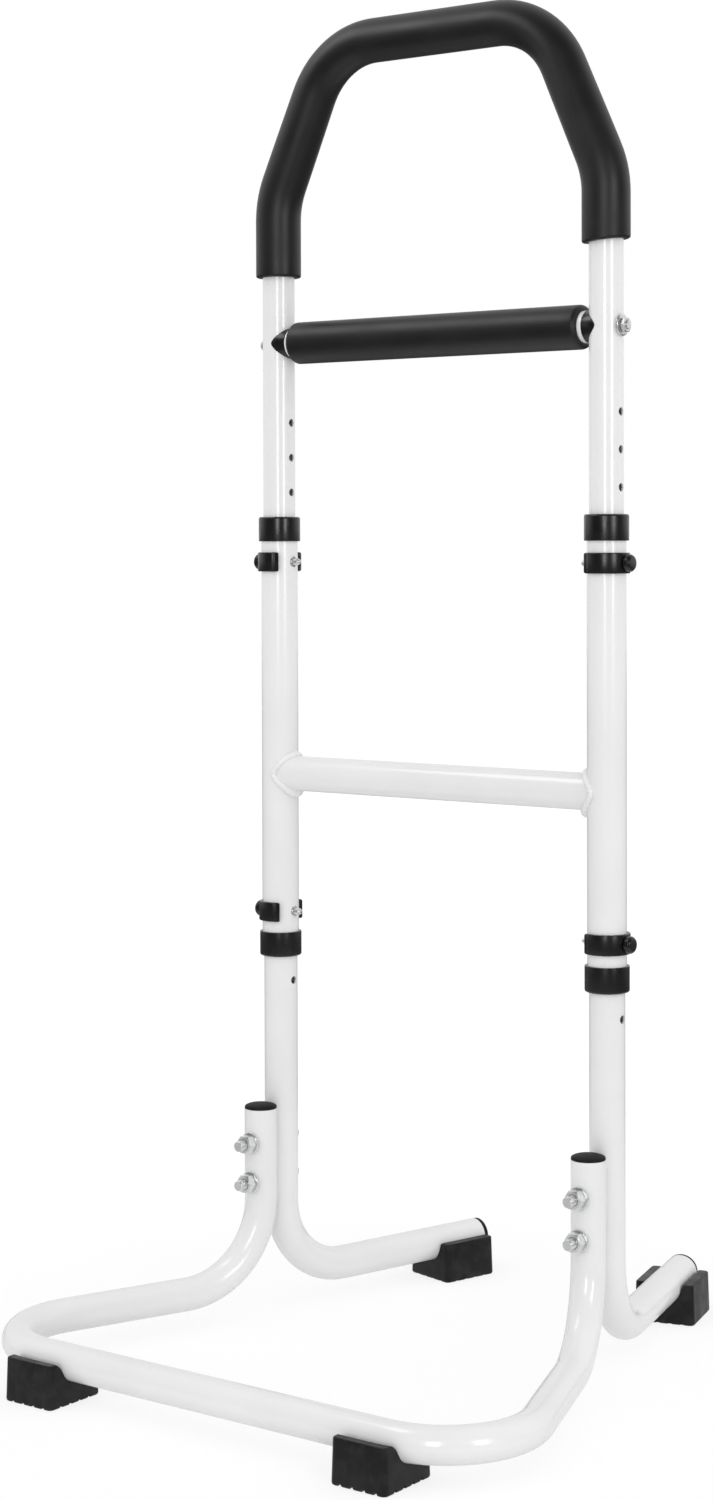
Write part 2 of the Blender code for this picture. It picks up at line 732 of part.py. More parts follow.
def tread_grooves(matrix, name, length, width):
    """Cutters for the grooves across and along a foot's sole."""
    places = spread(TREAD_COUNT, TREAD_PITCH)
    across = [(x, 0, TREAD_WIDTH, width * 2) for x in places]
    along = [(0, y, length * 2, TREAD_WIDTH) for y in places]
    cutters = []
    for title, grooves in ((f"{name}_across", across), (f"{name}_along", along)):
        bm = bmesh.new()
        for x, y, run_x, run_y in grooves:
            size = Matrix.Diagonal((run_x, run_y, 2 * TREAD_DEPTH, 1))
            bmesh.ops.create_cube(bm, size=1, matrix=Matrix.Translation((x, y, 0)) @ size)
        cutters.append(add_object(title, bm, matrix=matrix))
    return cutters


def build_foot(name, place, heading, size, tube, material, parent):
    """Rubber foot with a saddle for its tube and a waffle sole; size is its length and width."""
    matrix = Matrix.Translation(place) @ Matrix.Rotation(math.atan2(heading[1], heading[0]), 4, "Z")
    foot = add_object(name, foot_block(*size), material, parent, matrix)
    combine(foot, tube)
    for grooves in tread_grooves(matrix, f"{name}_treads", *size):
        combine(foot, grooves)


def build_base(materials, frame):
    build_front_base(materials["steel_white"], frame)
    front_tube = add_object("front_foot_groove", pipe(route(base_points(), BASE_RADII), BASE_R + FIT_GAP))
    for name, s in SIDE_NAMES.items():
        build_rear_leg(name, s, materials["steel_white"], frame)
        stub_y = LEG_Y - STUB_OFFSET
        stub_end = Vector((s * HALF_SPACING, stub_y, STUB_TOP_HEIGHT))
        up = (0, 0, 1)
        build_plug(f"stub_plug_{name}", stub_end, up, BASE_R, STUB_PLUG_DOME, materials["plastic"], frame)
        points = rear_points(s)
        back = rear_heading(s)
        end = points[-1]
        build_plug(f"rear_plug_{name}", end, back, LOWER_R, REAR_PLUG_DOME, materials["plastic"], frame)
        place = Vector((s * FRONT_FOOT_X, LEG_Y - FRONT_REACH, 0))
        front_size = (FRONT_FOOT_LENGTH, FRONT_FOOT_WIDTH)
        build_foot(f"front_foot_{name}", place, (1, 0), front_size, front_tube, materials["rubber"], frame)
        past_foot = rear_points(s, REAR_REACH + REAR_FOOT_LENGTH)
        groove = pipe(route(past_foot, [REAR_BEND_RADIUS]), LOWER_R + FIT_GAP)
        rear_tube = add_object(f"rear_foot_groove_{name}", groove)
        place = points[1] + back * (REAR_REACH - REAR_FOOT_LENGTH / 2)
        place.z = 0
        rear_size = (REAR_FOOT_LENGTH, REAR_FOOT_WIDTH)
        build_foot(f"rear_foot_{name}", place, back, rear_size, rear_tube, materials["rubber"], frame)
        for place_name, height in zip(("lower", "upper"), bolt_heights()):
            seat = (s * HALF_SPACING, LEG_Y + LOWER_R, height)
            clamped = LOWER_R + STUB_OFFSET + BASE_R
            title = f"base_{place_name}_{name}"
            add_fastener(title, BASE_FASTENER, seat, (0, -1, 0), clamped, materials["zinc"], frame)


def main():
    clear_scene()
    materials = {
        "steel_white": make_material("white_powder_coat", (0.86, 0.86, 0.86), 0.25),
        "foam": make_material("black_foam", (0.012, 0.012, 0.013), 0.75),
        "plastic": make_material("black_plastic", (0.012, 0.012, 0.012), 0.35),
        "rubber": make_material("black_rubber", (0.014, 0.014, 0.014), 0.7),
        "zinc": make_material("zinc_plate", (0.72, 0.72, 0.73), 0.3, 1.0),
    }
    base = add_empty("base", (0, 0, 0))
    middle = add_empty("middle_frame", (0, LEG_Y, LOWER_PIN_HEIGHT), base)
    handle = add_empty("handle", (0, LEG_Y, UPPER_PIN_HEIGHT), middle)
    build_base(materials, base)
    build_middle_frame(materials["steel_white"], middle)
    for name, s in SIDE_NAMES.items():
        lower, upper = (f"lower_{name}", f"upper_{name}")
        build_collar(f"collar_{lower}", s, LOWER_PIN_HEIGHT, -1, LOWER_R, materials["plastic"], middle)
        build_collar(f"collar_{upper}", s, UPPER_PIN_HEIGHT, 1, UPPER_R, materials["plastic"], middle)
        build_clip(lower, s, LOWER_PIN_HEIGHT, materials, middle)
        build_clip(upper, s, UPPER_PIN_HEIGHT, materials, middle)
    build_upper_handle(materials["steel_white"], handle)
    build_top_grip(materials["foam"], handle)
    build_cross_handle(materials, handle)
    build_tie_bolt(materials["zinc"], handle)


main()
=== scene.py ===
import math

import bmesh
import bpy
from mathutils import Matrix, Vector


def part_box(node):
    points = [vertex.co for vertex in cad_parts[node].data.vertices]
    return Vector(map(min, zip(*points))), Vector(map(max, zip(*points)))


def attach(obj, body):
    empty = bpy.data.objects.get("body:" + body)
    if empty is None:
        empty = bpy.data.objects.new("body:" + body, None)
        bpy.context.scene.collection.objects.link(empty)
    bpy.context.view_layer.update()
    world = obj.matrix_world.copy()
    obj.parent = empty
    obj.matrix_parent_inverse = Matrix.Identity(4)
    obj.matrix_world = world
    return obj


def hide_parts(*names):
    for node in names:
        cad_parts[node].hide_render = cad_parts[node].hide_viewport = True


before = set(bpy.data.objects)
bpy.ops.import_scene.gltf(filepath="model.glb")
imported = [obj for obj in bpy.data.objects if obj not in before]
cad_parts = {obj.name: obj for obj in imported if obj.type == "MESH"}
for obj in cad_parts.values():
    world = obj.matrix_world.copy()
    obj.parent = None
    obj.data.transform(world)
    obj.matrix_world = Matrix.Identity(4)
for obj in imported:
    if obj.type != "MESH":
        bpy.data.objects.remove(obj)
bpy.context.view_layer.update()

scene = bpy.context.scene
mm = 0.001
gap = 0.3 * mm  # clearance between neighbouring pieces, as in the solids
through = 120 * mm  # length of a cutter that has to come out on the far side
fineSides = 96  # of a cutter or bar whose round wall shows
sides = {"left": -1, "right": 1}
up = Vector((0, 0, 1))


def middleOf(node):
    low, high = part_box(node)
    return (Vector(low) + Vector(high)) / 2


def lowOf(node):
    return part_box(node)[0][2]


def highOf(node):
    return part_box(node)[1][2]


# places that every piece shares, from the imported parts, and the radius of the legs that slide in the posts
legX, legY = middleOf("post_right").xy
pinZ = {end: middleOf(f"clip_knob_{end}_right").z for end in ("lower", "upper")}
crossZ = middleOf("cross_handle_tube").z
legRadius = 12.95 * mm
print("frame loaded, legs", round(2 * legX / mm, 1), "mm apart")


def linear(hexColour):
    channels = [int(hexColour[i:i + 2], 16) / 255 for i in (1, 3, 5)]
    return [c / 12.92 if c <= 0.04045 else ((c + 0.055) / 1.055) ** 2.4 for c in channels] + [1.0]


def addNode(tree, kind, inputs=None, **settings):
    node = tree.nodes.new(kind)
    for name, value in settings.items():
        setattr(node, name, value)
    for name, value in (inputs or {}).items():
        if isinstance(value, bpy.types.NodeSocket):
            tree.links.new(value, node.inputs[name])
        else:
            node.inputs[name].default_value = value
    return node


def standIn(mesh):
    obj = bpy.data.objects.new("working", mesh)
    scene.collection.objects.link(obj)
    return obj


def settled(obj):  # the evaluated result as a plain mesh, and the working object is gone
    bpy.context.view_layer.update()
    mesh = bpy.data.meshes.new_from_object(obj.evaluated_get(bpy.context.evaluated_depsgraph_get()))
    bpy.data.objects.remove(obj)
    return mesh


def toMesh(bm):
    bmesh.ops.recalc_face_normals(bm, faces=bm.faces)
    mesh = bpy.data.meshes.new("working")
    bm.to_mesh(mesh)
    bm.free()
    return mesh


def moved(mesh, matrix):
    mesh.transform(matrix)
    return mesh


def aimed(spot, direction):  # local Z along a direction
    return Matrix.Translation(spot) @ Vector(direction).to_track_quat("Z", "Y").to_matrix().to_4x4()


def combined(how, mesh, *others):
    obj = standIn(mesh)
    tools = [standIn(other) for other in others]
    for tool in tools:
        step = obj.modifiers.new("combine", "BOOLEAN")
        step.operation = how
        step.solver = "EXACT"
        step.object = tool
    mesh = settled(obj)
    for tool in tools:
        bpy.data.objects.remove(tool)
    return mesh


def cutFrom(mesh, *cutters):
    return combined("DIFFERENCE", mesh, *cutters)


def place(name, mesh, body, finish, slot, *nodes, sharp=32):
    mesh.name = name
    mesh.materials.clear()
    mesh.materials.append(finish)
    mesh.polygons.foreach_set("material_index", [0] * len(mesh.polygons))
    mesh.shade_smooth()
    mesh.set_sharp_from_angle(angle=math.radians(sharp))
    piece = bpy.data.objects.new(name, mesh)
    scene.collection.objects.link(piece)
    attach(piece, body)
    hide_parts(*nodes)
    return piece


def turns(count):  # cosine and sine of even steps round a circle
    angles = [2 * math.pi * i / count for i in range(count)]
    return [(math.cos(a), math.sin(a)) for a in angles]


def edgesOf(loop):
    return zip(loop, loop[1:] + loop[:1])


def skinned(bm, loops, closed=False, capped=False):  # faces from loop to loop; a loop of one corner is a tip
    for one, other in zip(loops, loops[1:] + (loops[:1] if closed else [])):
        if len(one) == 1 or len(other) == 1:
            tip, ring = (one[0], other) if len(one) == 1 else (other[0], one)
            faces = [(a, b, tip) for a, b in edgesOf(ring)] if len(ring) > 1 else []
        else:
            faces = [(a, b, d, c) for (a, b), (c, d) in zip(edgesOf(one), edgesOf(other))]
        for corners in faces:
            bm.faces.new(corners)
    if capped:
        bm.faces.new(loops[0])
        bm.faces.new(loops[-1])
    return toMesh(bm)


def filleted(outline, closed=False, steps=5):  # corners given as (x, y, radius)
    spots = [Vector(corner[:2]) for corner in outline]
    made = []
    for i, (x, y, radius) in enumerate(outline):
        if radius == 0 or (not closed and i in (0, len(outline) - 1)):
            made.append((x, y))
            continue
        here = spots[i]
        back = (spots[i - 1] - here).normalized()
        ahead = (spots[(i + 1) % len(outline)] - here).normalized()
        half = back.angle(ahead) / 2
        reach = radius / math.tan(half)
        centre = here + (back + ahead).normalized() * radius / math.sin(half)
        first, last = here + back * reach - centre, here + ahead * reach - centre
        start = math.atan2(first.y, first.x)
        turn = (math.atan2(last.y, last.x) - start + math.pi) % (2 * math.pi) - math.pi
        for k in range(steps + 1):
            angle = start + turn * k / steps
            made.append((centre.x + radius * math.cos(angle), centre.y + radius * math.sin(angle)))
    return made


def lathed(profile, count=64, hollow=False):  # (radius, height) points about local Z
    bm = bmesh.new()
    loops = []
    for radius, height in profile:
        around = turns(count) if radius > 1e-7 else [(0, 0)]
        loops.append([bm.verts.new((radius * cos, radius * sin, height)) for cos, sin in around])
    return skinned(bm, loops, closed=hollow)


def extruded(outline, length):  # outline in local Y and Z, run along local X
    bm = bmesh.new()
    ends = [[bm.verts.new((x, y, z)) for y, z in outline] for x in (-length / 2, length / 2)]
    return skinned(bm, ends, capped=True)


def drill(radius, length, direction, count=32):
    ends = [(0, -length / 2), (radius, -length / 2), (radius, length / 2), (0, length / 2)]
    return moved(lathed(ends, count), aimed((0, 0, 0), direction))


def bentPath(corners, radii, step=4, run=12 * mm):  # places and headings along straight runs and arcs
    corners = [Vector(c) for c in corners]
    knots = [(corners[0], (corners[1] - corners[0]).normalized())]
    for before, corner, after, radius in zip(corners, corners[1:], corners[2:], radii):
        come, leave = (corner - before).normalized(), (after - corner).normalized()
        turn, axis = come.angle(leave), come.cross(leave).normalized()
        start = corner - come * radius * math.tan(turn / 2)
        centre = start + axis.cross(come) * radius
        count = math.ceil(math.degrees(turn) / step)
        for i in range(count + 1):
            spin = Matrix.Rotation(turn * i / count, 3, axis)
            knots.append((centre + spin @ (start - centre), spin @ come))
    knots.append((corners[-1], (corners[-1] - corners[-2]).normalized()))
    path = [knots[0]]
    for one, other in zip(knots, knots[1:]):
        count = max(1, round((other[0] - one[0]).length / run))
        for k in range(1, count + 1):
            path.append((one[0].lerp(other[0], k / count), other[1] if k == count else one[1]))
    return path


def asLine(path):
    mesh = bpy.data.meshes.new("path")
    mesh.from_pydata([spot for spot, _ in path], [(i, i + 1) for i in range(len(path) - 1)], [])
    return mesh


def newTree(name, sizes):
    tree = bpy.data.node_groups.new(name, "GeometryNodeTree")
    tree.interface.new_socket("Geometry", in_out="INPUT", socket_type="NodeSocketGeometry")
    for title, kind in sizes.items():
        tree.interface.new_socket(title, in_out="INPUT", socket_type=f"NodeSocket{kind}")
    tree.interface.new_socket("Geometry", in_out="OUTPUT", socket_type="NodeSocketGeometry")
    return tree, addNode(tree, "NodeGroupInput").outputs


def endTree(tree, geometry, finish):
    whole = addNode(tree, "GeometryNodeRealizeInstances", {"Geometry": geometry})
    painted = addNode(tree, "GeometryNodeSetMaterial", {"Geometry": whole.outputs[0], "Material": finish})
    addNode(tree, "NodeGroupOutput", {"Geometry": painted.outputs[0]})


def grown(tree, start, **sizes):
    obj = standIn(start)
    nodes = obj.modifiers.new(tree.name, "NODES")
    nodes.node_group = tree
    for item in tree.interface.items_tree:
        if item.in_out == "INPUT" and item.name in sizes:
            nodes[item.identifier] = sizes[item.name]
    return settled(obj)


# a round tube drawn along a bent centre line
bentTube, given = newTree("bentTube", {"Radius": "Float", "Sides": "Int", "Finish": "Material"})
centreLine = addNode(bentTube, "GeometryNodeMeshToCurve", {"Mesh": given["Geometry"]})
roundSection = addNode(
    bentTube, "GeometryNodeCurvePrimitiveCircle", {"Resolution": given["Sides"], "Radius": given["Radius"]}
)
skin = addNode(
    bentTube,
    "GeometryNodeCurveToMesh",
    {"Curve": centreLine.outputs["Curve"], "Profile Curve": roundSection.outputs["Curve"]},
)
endTree(bentTube, skin.outputs["Mesh"], given["Finish"])

# copies of one shape at an even pitch: adjusting holes, bolt holes and sole grooves
evenRow, given = newTree(
    "evenRow", {"Shape": "Object", "Count": "Int", "First": "Vector", "Pitch": "Vector", "Finish": "Material"}
)
shape = addNode(evenRow, "GeometryNodeObjectInfo", {"Object": given["Shape"]})
spots = addNode(
    evenRow,
    "GeometryNodeMeshLine",
    {"Count": given["Count"], "Start Location": given["First"], "Offset": given["Pitch"]},
    mode="OFFSET",
)
copies = addNode(
    evenRow,
    "GeometryNodeInstanceOnPoints",
    {"Points": spots.outputs["Mesh"], "Instance": shape.outputs["Geometry"]},
)
endTree(evenRow, copies.outputs["Instances"], given["Finish"])


def rowOf(shapeMesh, count, first, pitch, finish):
    model = standIn(shapeMesh)
    mesh = grown(
        evenRow, bpy.data.meshes.new("row"), Shape=model, Count=count, First=first, Pitch=pitch, Finish=finish
    )
    bpy.data.objects.remove(model)
    return mesh


def tubeAlong(path, radius, wall, finish, count=64):
    mesh = grown(bentTube, asLine(path), Radius=radius, Sides=count, Finish=finish)
    bm = bmesh.new()
    bm.from_mesh(mesh)
    bmesh.ops.remove_doubles(bm, verts=bm.verts, dist=1e-6)
    obj = standIn(toMesh(bm))
    thick = obj.modifiers.new("wall", "SOLIDIFY")
    thick.thickness = wall
    thick.offset = -1
    thick.use_even_offset = True
    return settled(obj)


print("tools and node trees ready")


def newFinish(name):
    finish = bpy.data.materials.new(name)
    finish.use_nodes = True
    finish.node_tree.nodes.clear()
    where = addNode(finish.node_tree, "ShaderNodeTexCoord").outputs["Object"]
    return finish, finish.node_tree, where


def endFinish(tree, relief=None, **sockets):  # relief is a height, how strong it is and how deep
    if relief:
        lifted = addNode(tree, "ShaderNodeBump", dict(zip(("Height", "Strength", "Distance"), relief)))
        sockets["Normal"] = lifted.outputs["Normal"]
    surface = addNode(tree, "ShaderNodeBsdfPrincipled", {n.replace("_", " "): v for n, v in sockets.items()})
    addNode(tree, "ShaderNodeOutputMaterial", {"Surface": surface.outputs["BSDF"]})


noiseSpan = {"From Min": 0.3, "From Max": 0.7}  # noise mostly keeps between these


def mottled(tree, where, look, one, other):  # two colours in soft clouds, and a gloss that follows them
    noise = {"Vector": where, "Scale": 1 / look["cloud"], "Detail": look["detail"]}
    cloud = {"Value": addNode(tree, "ShaderNodeTexNoise", noise).outputs["Fac"], **noiseSpan}
    share = addNode(tree, "ShaderNodeMapRange", cloud).outputs["Result"]
    gloss = addNode(tree, "ShaderNodeMapRange", {**cloud, "To Min": look["smooth"], "To Max": look["dull"]})
    # sockets 6 and 7 of a colour mix are its two colours
    pair = {"Factor": share, 6: linear(look[one]), 7: linear(look[other])}
    colour = addNode(tree, "ShaderNodeMix", pair, data_type="RGBA")
    return {"Base_Color": colour.outputs[2], "Roughness": gloss.outputs["Result"]}


# White polyester powder coat on steel tube: even, pale and glossy, its peel too faint to break a highlight
coatLook = {
    "white": "#F1F1F1",
    "shade": "#EDEDED",
    "cloud": 60 * mm,
    "detail": 2.0,
    "smooth": 0.16,
    "dull": 0.19,
    "peel": 4 * mm,  # drawn coarse so that it shows; real peel is nearer 1 mm
    "peelLift": 0.03,
    "peelDepth": 0.1 * mm,
}
powderCoat, tree, where = newFinish("powderCoatedSteel")
peel = addNode(tree, "ShaderNodeTexNoise", {"Vector": where, "Scale": 1 / coatLook["peel"], "Detail": 0.0})
endFinish(
    tree,
    relief=(peel.outputs["Fac"], coatLook["peelLift"], coatLook["peelDepth"]),
    **mottled(tree, where, coatLook, "shade", "white"),
)

# Closed-cell nitrile foam, skinned in the tube die: deep black with a soft satin sheen and fine pores
foamLook = {
    "black": "#0B0B0C",
    "worn": "#101011",
    "cloud": 35 * mm,
    "detail": 3.0,
    "smooth": 0.42,
    "dull": 0.5,
    "sheen": 0.52,
    "pore": 1.8 * mm,  # drawn coarse so that it shows; real cells are about 0.4 mm
    "poreLift": 0.08,
    "poreDepth": 0.2 * mm,
}
gripFoam, tree, where = newFinish("closedCellFoam")
pores = addNode(tree, "ShaderNodeTexVoronoi", {"Vector": where, "Scale": 1 / foamLook["pore"]})
endFinish(
    tree,
    relief=(pores.outputs["Distance"], foamLook["poreLift"], foamLook["poreDepth"]),
    Specular_IOR_Level=foamLook["sheen"],
    **mottled(tree, where, foamLook, "black", "worn"),
)

# Injection-moulded nylon: deep black, fairly glossy, with a light spark texture from the mould
nylonLook = {
    "black": "#101011",
    "scuffed": "#161617",
    "cloud": 14 * mm,
    "detail": 4.0,
    "smooth": 0.24,
    "dull": 0.32,
    "spark": 1.2 * mm,  # drawn coarse so that it shows; real grain is about 0.2 mm
    "sparkLift": 0.05,
    "sparkDepth": 0.1 * mm,
}
mouldedNylon, tree, where = newFinish("mouldedNylon")
spark = addNode(tree, "ShaderNodeTexNoise", {"Vector": where, "Scale": 1 / nylonLook["spark"], "Detail": 2.0})
endFinish(
    tree,
    relief=(spark.outputs["Fac"], nylonLook["sparkLift"], nylonLook["sparkDepth"]),
    **mottled(tree, where, nylonLook, "black", "scuffed"),
)

# Polyethylene tube plugs, left as moulded: black and quite matt, so that they stay dark at a low angle
plugLook = {
    "black": "#121213",
    "pale": "#1C1C1D",
    "cloud": 8 * mm,
    "detail": 3.0,
    "smooth": 0.62,
    "dull": 0.62,
    "sheen": 0.2,
}
plugPlastic, tree, where = newFinish("mouldedPolyethylene")
endFinish(tree, Specular_IOR_Level=plugLook["sheen"], **mottled(tree, where, plugLook, "black", "pale"))

# Moulded rubber: dark, with matt grey marks that grow near the floor where it picks up dust
rubberLook = {
    "black": "#0C0C0D",
    "dust": "#3A3A39",
    "strength": {"From Min": 0, "From Max": 7 * mm, "To Min": 0.7, "To Max": 0.45},  # of the marks, by height
    "marks": {"From Min": 0.42, "From Max": 0.72},  # where in the grain they begin and are full
    "gloss": {**noiseSpan, "To Min": 0.34, "To Max": 0.56},
    "sheen": 0.25,
    "grain": 12 * mm,
    "grainLift": 0.1,
    "grainDepth": 0.15 * mm,
}
mouldedRubber, tree, where = newFinish("mouldedRubber")
grain = addNode(tree, "ShaderNodeTexNoise", {"Vector": where, "Scale": 1 / rubberLook["grain"], "Detail": 5.0})
grain = grain.outputs["Fac"]
height = addNode(tree, "ShaderNodeSeparateXYZ", {"Vector": where}).outputs["Z"]
strength = addNode(tree, "ShaderNodeMapRange", {"Value": height, **rubberLook["strength"]}).outputs["Result"]
marks = addNode(tree, "ShaderNodeMapRange", {"Value": grain, **rubberLook["marks"]}).outputs["Result"]
gloss = addNode(tree, "ShaderNodeMapRange", {"Value": grain, **rubberLook["gloss"]}).outputs["Result"]
dusty = addNode(tree, "ShaderNodeMath", {0: strength, 1: marks}, operation="MULTIPLY").outputs["Value"]
pair = {"Factor": dusty, 6: linear(rubberLook["black"]), 7: linear(rubberLook["dust"])}
endFinish(
    tree,
    relief=(grain, rubberLook["grainLift"], rubberLook["grainDepth"]),
    Base_Color=addNode(tree, "ShaderNodeMix", pair, data_type="RGBA").outputs[2],
    Roughness=gloss,
    Specular_IOR_Level=rubberLook["sheen"],
)

# Bright zinc plate on steel: a silvery metal with slightly uneven gloss
zincLook = {
    "bright": "#EDEEEE",
    "grey": "#DCDDDE",
    "cloud": 3 * mm,
    "detail": 4.0,
    "smooth": 0.3,
    "dull": 0.44,
}
zincPlate, tree, where = newFinish("zincPlatedSteel")
endFinish(tree, Metallic=1.0, **mottled(tree, where, zincLook, "grey", "bright"))
print("finishes ready")

# Upper handle: a bent tube in foam, on the handle body
handle = {
    "radius": 12.5 * mm,
    "wall": 1.2 * mm,
    "archRise": 115.5 * mm,
    "slope": 24.4,  # degrees that the arms lean in
    "lowBend": 70 * mm,
    "topBend": 63.5 * mm,
    "holes": 5,
    "holePitch": 27 * mm,
    "holeRadius": 3.05 * mm,
    "foamRadius": 17.2 * mm,
    "foamSwell": 0.35 * mm,  # fuller on the arms and thinner where it is pulled over the top
    "foamThin": 0.5 * mm,
    "foamEdge": 1.8 * mm,
    "foamStep": 9 * mm,  # its left end hangs this much lower
    "foamSlant": 0.1,  # its right end is cut a little askew, along this way and fading out over this rise
    "slantWay": (0.82, 0.57, 0),
    "slantRise": 40 * mm,
}
archTop = highOf("top_foam_grip") - handle["foamRadius"]
archBend = archTop - handle["archRise"]
tubeEnd, foamLeft = lowOf("upper_handle_tube"), lowOf("top_foam_grip")
foamRight = foamLeft + handle["foamStep"]


def handleLine(leftEnd, rightEnd):
    inner = legX - handle["archRise"] * math.tan(math.radians(handle["slope"]))
    corners = [
        (-legX, legY, leftEnd),
        (-legX, legY, archBend),
        (-inner, legY, archTop),
        (inner, legY, archTop),
        (legX, legY, archBend),
        (legX, legY, rightEnd),
    ]
    return bentPath(corners, [handle["lowBend"], handle["topBend"], handle["topBend"], handle["lowBend"]])


def gripRadius(spot):
    share = min(max((spot.z - archBend) / handle["archRise"], 0), 1)
    share = share * share * (3 - 2 * share)
    return handle["foamRadius"] + handle["foamSwell"] * (1 - share) - handle["foamThin"] * share


def sleeve(path, outerAt, inner, edge, count=72):  # foam tube with rounded ends
    (first, start), (last, finish) = path[0], path[-1]
    quarter = [math.radians(a) for a in range(0, 91, 15)]
    rounded = [(edge * (1 - math.cos(a)), edge * (1 - math.sin(a))) for a in quarter]
    rings = [(first + start * along, start, outerAt(first) - drop) for along, drop in rounded]
    for spot, heading in path[1:-1]:
        if min((spot - first).length, (spot - last).length) > 1.2 * edge:
            rings.append((spot, heading, outerAt(spot)))
    rings += [(last - finish * along, finish, outerAt(last) - drop) for along, drop in reversed(rounded)]
    bm = bmesh.new()
    skins = []
    for inside in (False, True):
        across, before = Vector((0, 1, 0)), start
        loops = []
        for spot, heading, outer in rings:
            across = before.rotation_difference(heading) @ across
            before = heading
            third = heading.cross(across)
            radius = inner if inside else outer
            spokes = [cos * across + sin * third for cos, sin in turns(count)]
            loops.append([bm.verts.new(spot + radius * spoke) for spoke in spokes])
        skins.append(loops)
    return skinned(bm, skins[0] + skins[1][::-1], closed=True)


tube = tubeAlong(handleLine(tubeEnd, tubeEnd), handle["radius"], handle["wall"], powderCoat)
hole = drill(handle["holeRadius"], 4 * handle["radius"], (1, 0, 0))
step = (0, 0, handle["holePitch"])
rows = [
    rowOf(hole.copy(), handle["holes"], (s * legX, legY, pinZ["upper"]), step, powderCoat)
    for s in sides.values()
]
place("upperHandleTube", cutFrom(tube, *rows), "handle", powderCoat, "white_powder_coat", "upper_handle_tube")

foam = sleeve(handleLine(foamLeft, foamRight), gripRadius, handle["radius"] + gap, handle["foamEdge"])
for corner in foam.vertices:
    if corner.co.x > 0:
        share = max(0, 1 - (corner.co.z - foamRight) / handle["slantRise"])
        offset = (corner.co - Vector((legX, legY, 0))).dot(Vector(handle["slantWay"]))
        corner.co.z += share * handle["foamSlant"] * offset
grip = place("topFoamGrip", foam, "handle", gripFoam, "black_foam", "top_foam_grip")
print("upper handle and top grip placed")

# Cross handle: tube, foam sleeve, coped end caps and one long tie bolt
crossHandle = {
    "tubeRadius": 11.75 * mm,
    "wall": 1.2 * mm,
    "foamRadius": 16.15 * mm,
    "foamEdge": 3.5 * mm,
    "capSmall": 11.7 * mm,  # the cap widens from the tube to the leg
    "capLarge": 12.6 * mm,
    "capFull": 0.55,  # share of its length where it is widest
    "capEdge": 0.6 * mm,
    "capBend": 1.5 * mm,
    "spigot": 10 * mm,
    "spigotEdge": 0.8 * mm,
    "boltRadius": 3 * mm,
}
tubeHalf, foamHalf = (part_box(node)[1][0] for node in ("cross_handle_tube", "cross_foam_grip"))


def crossLine(half):
    return bentPath([(-half, legY, crossZ), (half, legY, crossZ)], [])


def capMesh(reach):  # about local Z, its spigot below 0
    spigot = crossHandle["tubeRadius"] - crossHandle["wall"] - gap
    bore = crossHandle["boltRadius"] + gap
    profile = filleted(
        [
            (bore, -crossHandle["spigot"], 0),
            (spigot, -crossHandle["spigot"], crossHandle["spigotEdge"]),
            (spigot, 0, 0),
            (crossHandle["capSmall"], 0, crossHandle["capEdge"]),
            (crossHandle["capLarge"], crossHandle["capFull"] * reach, crossHandle["capBend"]),
            (crossHandle["capLarge"], reach, 0),
            (bore, reach, 0),
        ],
        closed=True,
        steps=3,
    )
    return lathed(profile, hollow=True)


tube = tubeAlong(crossLine(tubeHalf), crossHandle["tubeRadius"], crossHandle["wall"], powderCoat)
place("crossHandleTube", tube, "handle", powderCoat, "white_powder_coat", "cross_handle_tube")
foam = sleeve(
    crossLine(foamHalf),
    lambda spot: crossHandle["foamRadius"],
    crossHandle["tubeRadius"] + gap,
    crossHandle["foamEdge"],
)
grip = place("crossFoamGrip", foam, "handle", gripFoam, "black_foam", "cross_foam_grip")

capSeat = tubeHalf + gap
for name, s in sides.items():
    cap = moved(capMesh(legX - capSeat), aimed((s * capSeat, legY, crossZ), (s, 0, 0)))
    leg = drill(handle["radius"] + gap, through, up, fineSides)
    moved(leg, Matrix.Translation((s * legX, legY, crossZ)))
    cap, node = cutFrom(cap, leg), f"cross_end_cap_{name}"
    place(f"crossEndCap.{name}", cap, "handle", mouldedNylon, "black_plastic", node)
print("cross handle placed")

# Bolts, washers and nuts, in millimetres: M8 through the base uprights, M6 through the cross handle
m8 = {
    "radius": 4,
    "pitch": 1.25,
    "threaded": 16,
    "tip": 7,  # past the nut
    "plain": 3.4,  # smooth end past the thread
    "edge": 0.5,
    "head": 6.25,
    "headHeight": 3.5,
    "socket": 2.5,
    "flats": 13,
    "nutHeight": 6.5,
    "washer": 8.5,
    "washerHeight": 1.6,
    "washerEdge": 0.6,
}
m6 = {
    "radius": 3,
    "pitch": 1.0,
    "threaded": 8,
    "tip": 1.2,
    "plain": -1,  # below 0 the thread is still full at the end
    "edge": 0.54,
    "head": 5.25,
    "headHeight": 3.3,
    "socket": 2.0,
    "flats": 10,
    "nutHeight": 3.2,
    "washer": 8,
    "washerHeight": 1.6,
    "washerEdge": 1.1,
}
fastener = {  # what both sizes share
    "threadDepth": 0.2,  # share of the pitch
    "endSlope": 0.7,
    "crown": (0.62, 0.97, 0.35),  # the head's shoulder and its bend: shares of its radius, height and radius
    "rimHeight": 0.25,  # share of the head's height
    "rimEdge": 0.8,
    "seatEdge": 0.25,
    "socketWall": 0.4,  # what is left below the socket's wall and its middle, as shares of the head's height
    "socketFloor": 0.3,
    "nutFace": 0.96,  # share of the half width over the flats
    "nutSlope": 30,  # degrees
    "nutEdge": 0.4,
    "washerHole": 0.2,  # rounding of its edges
    "washerUnder": 0.3,
}


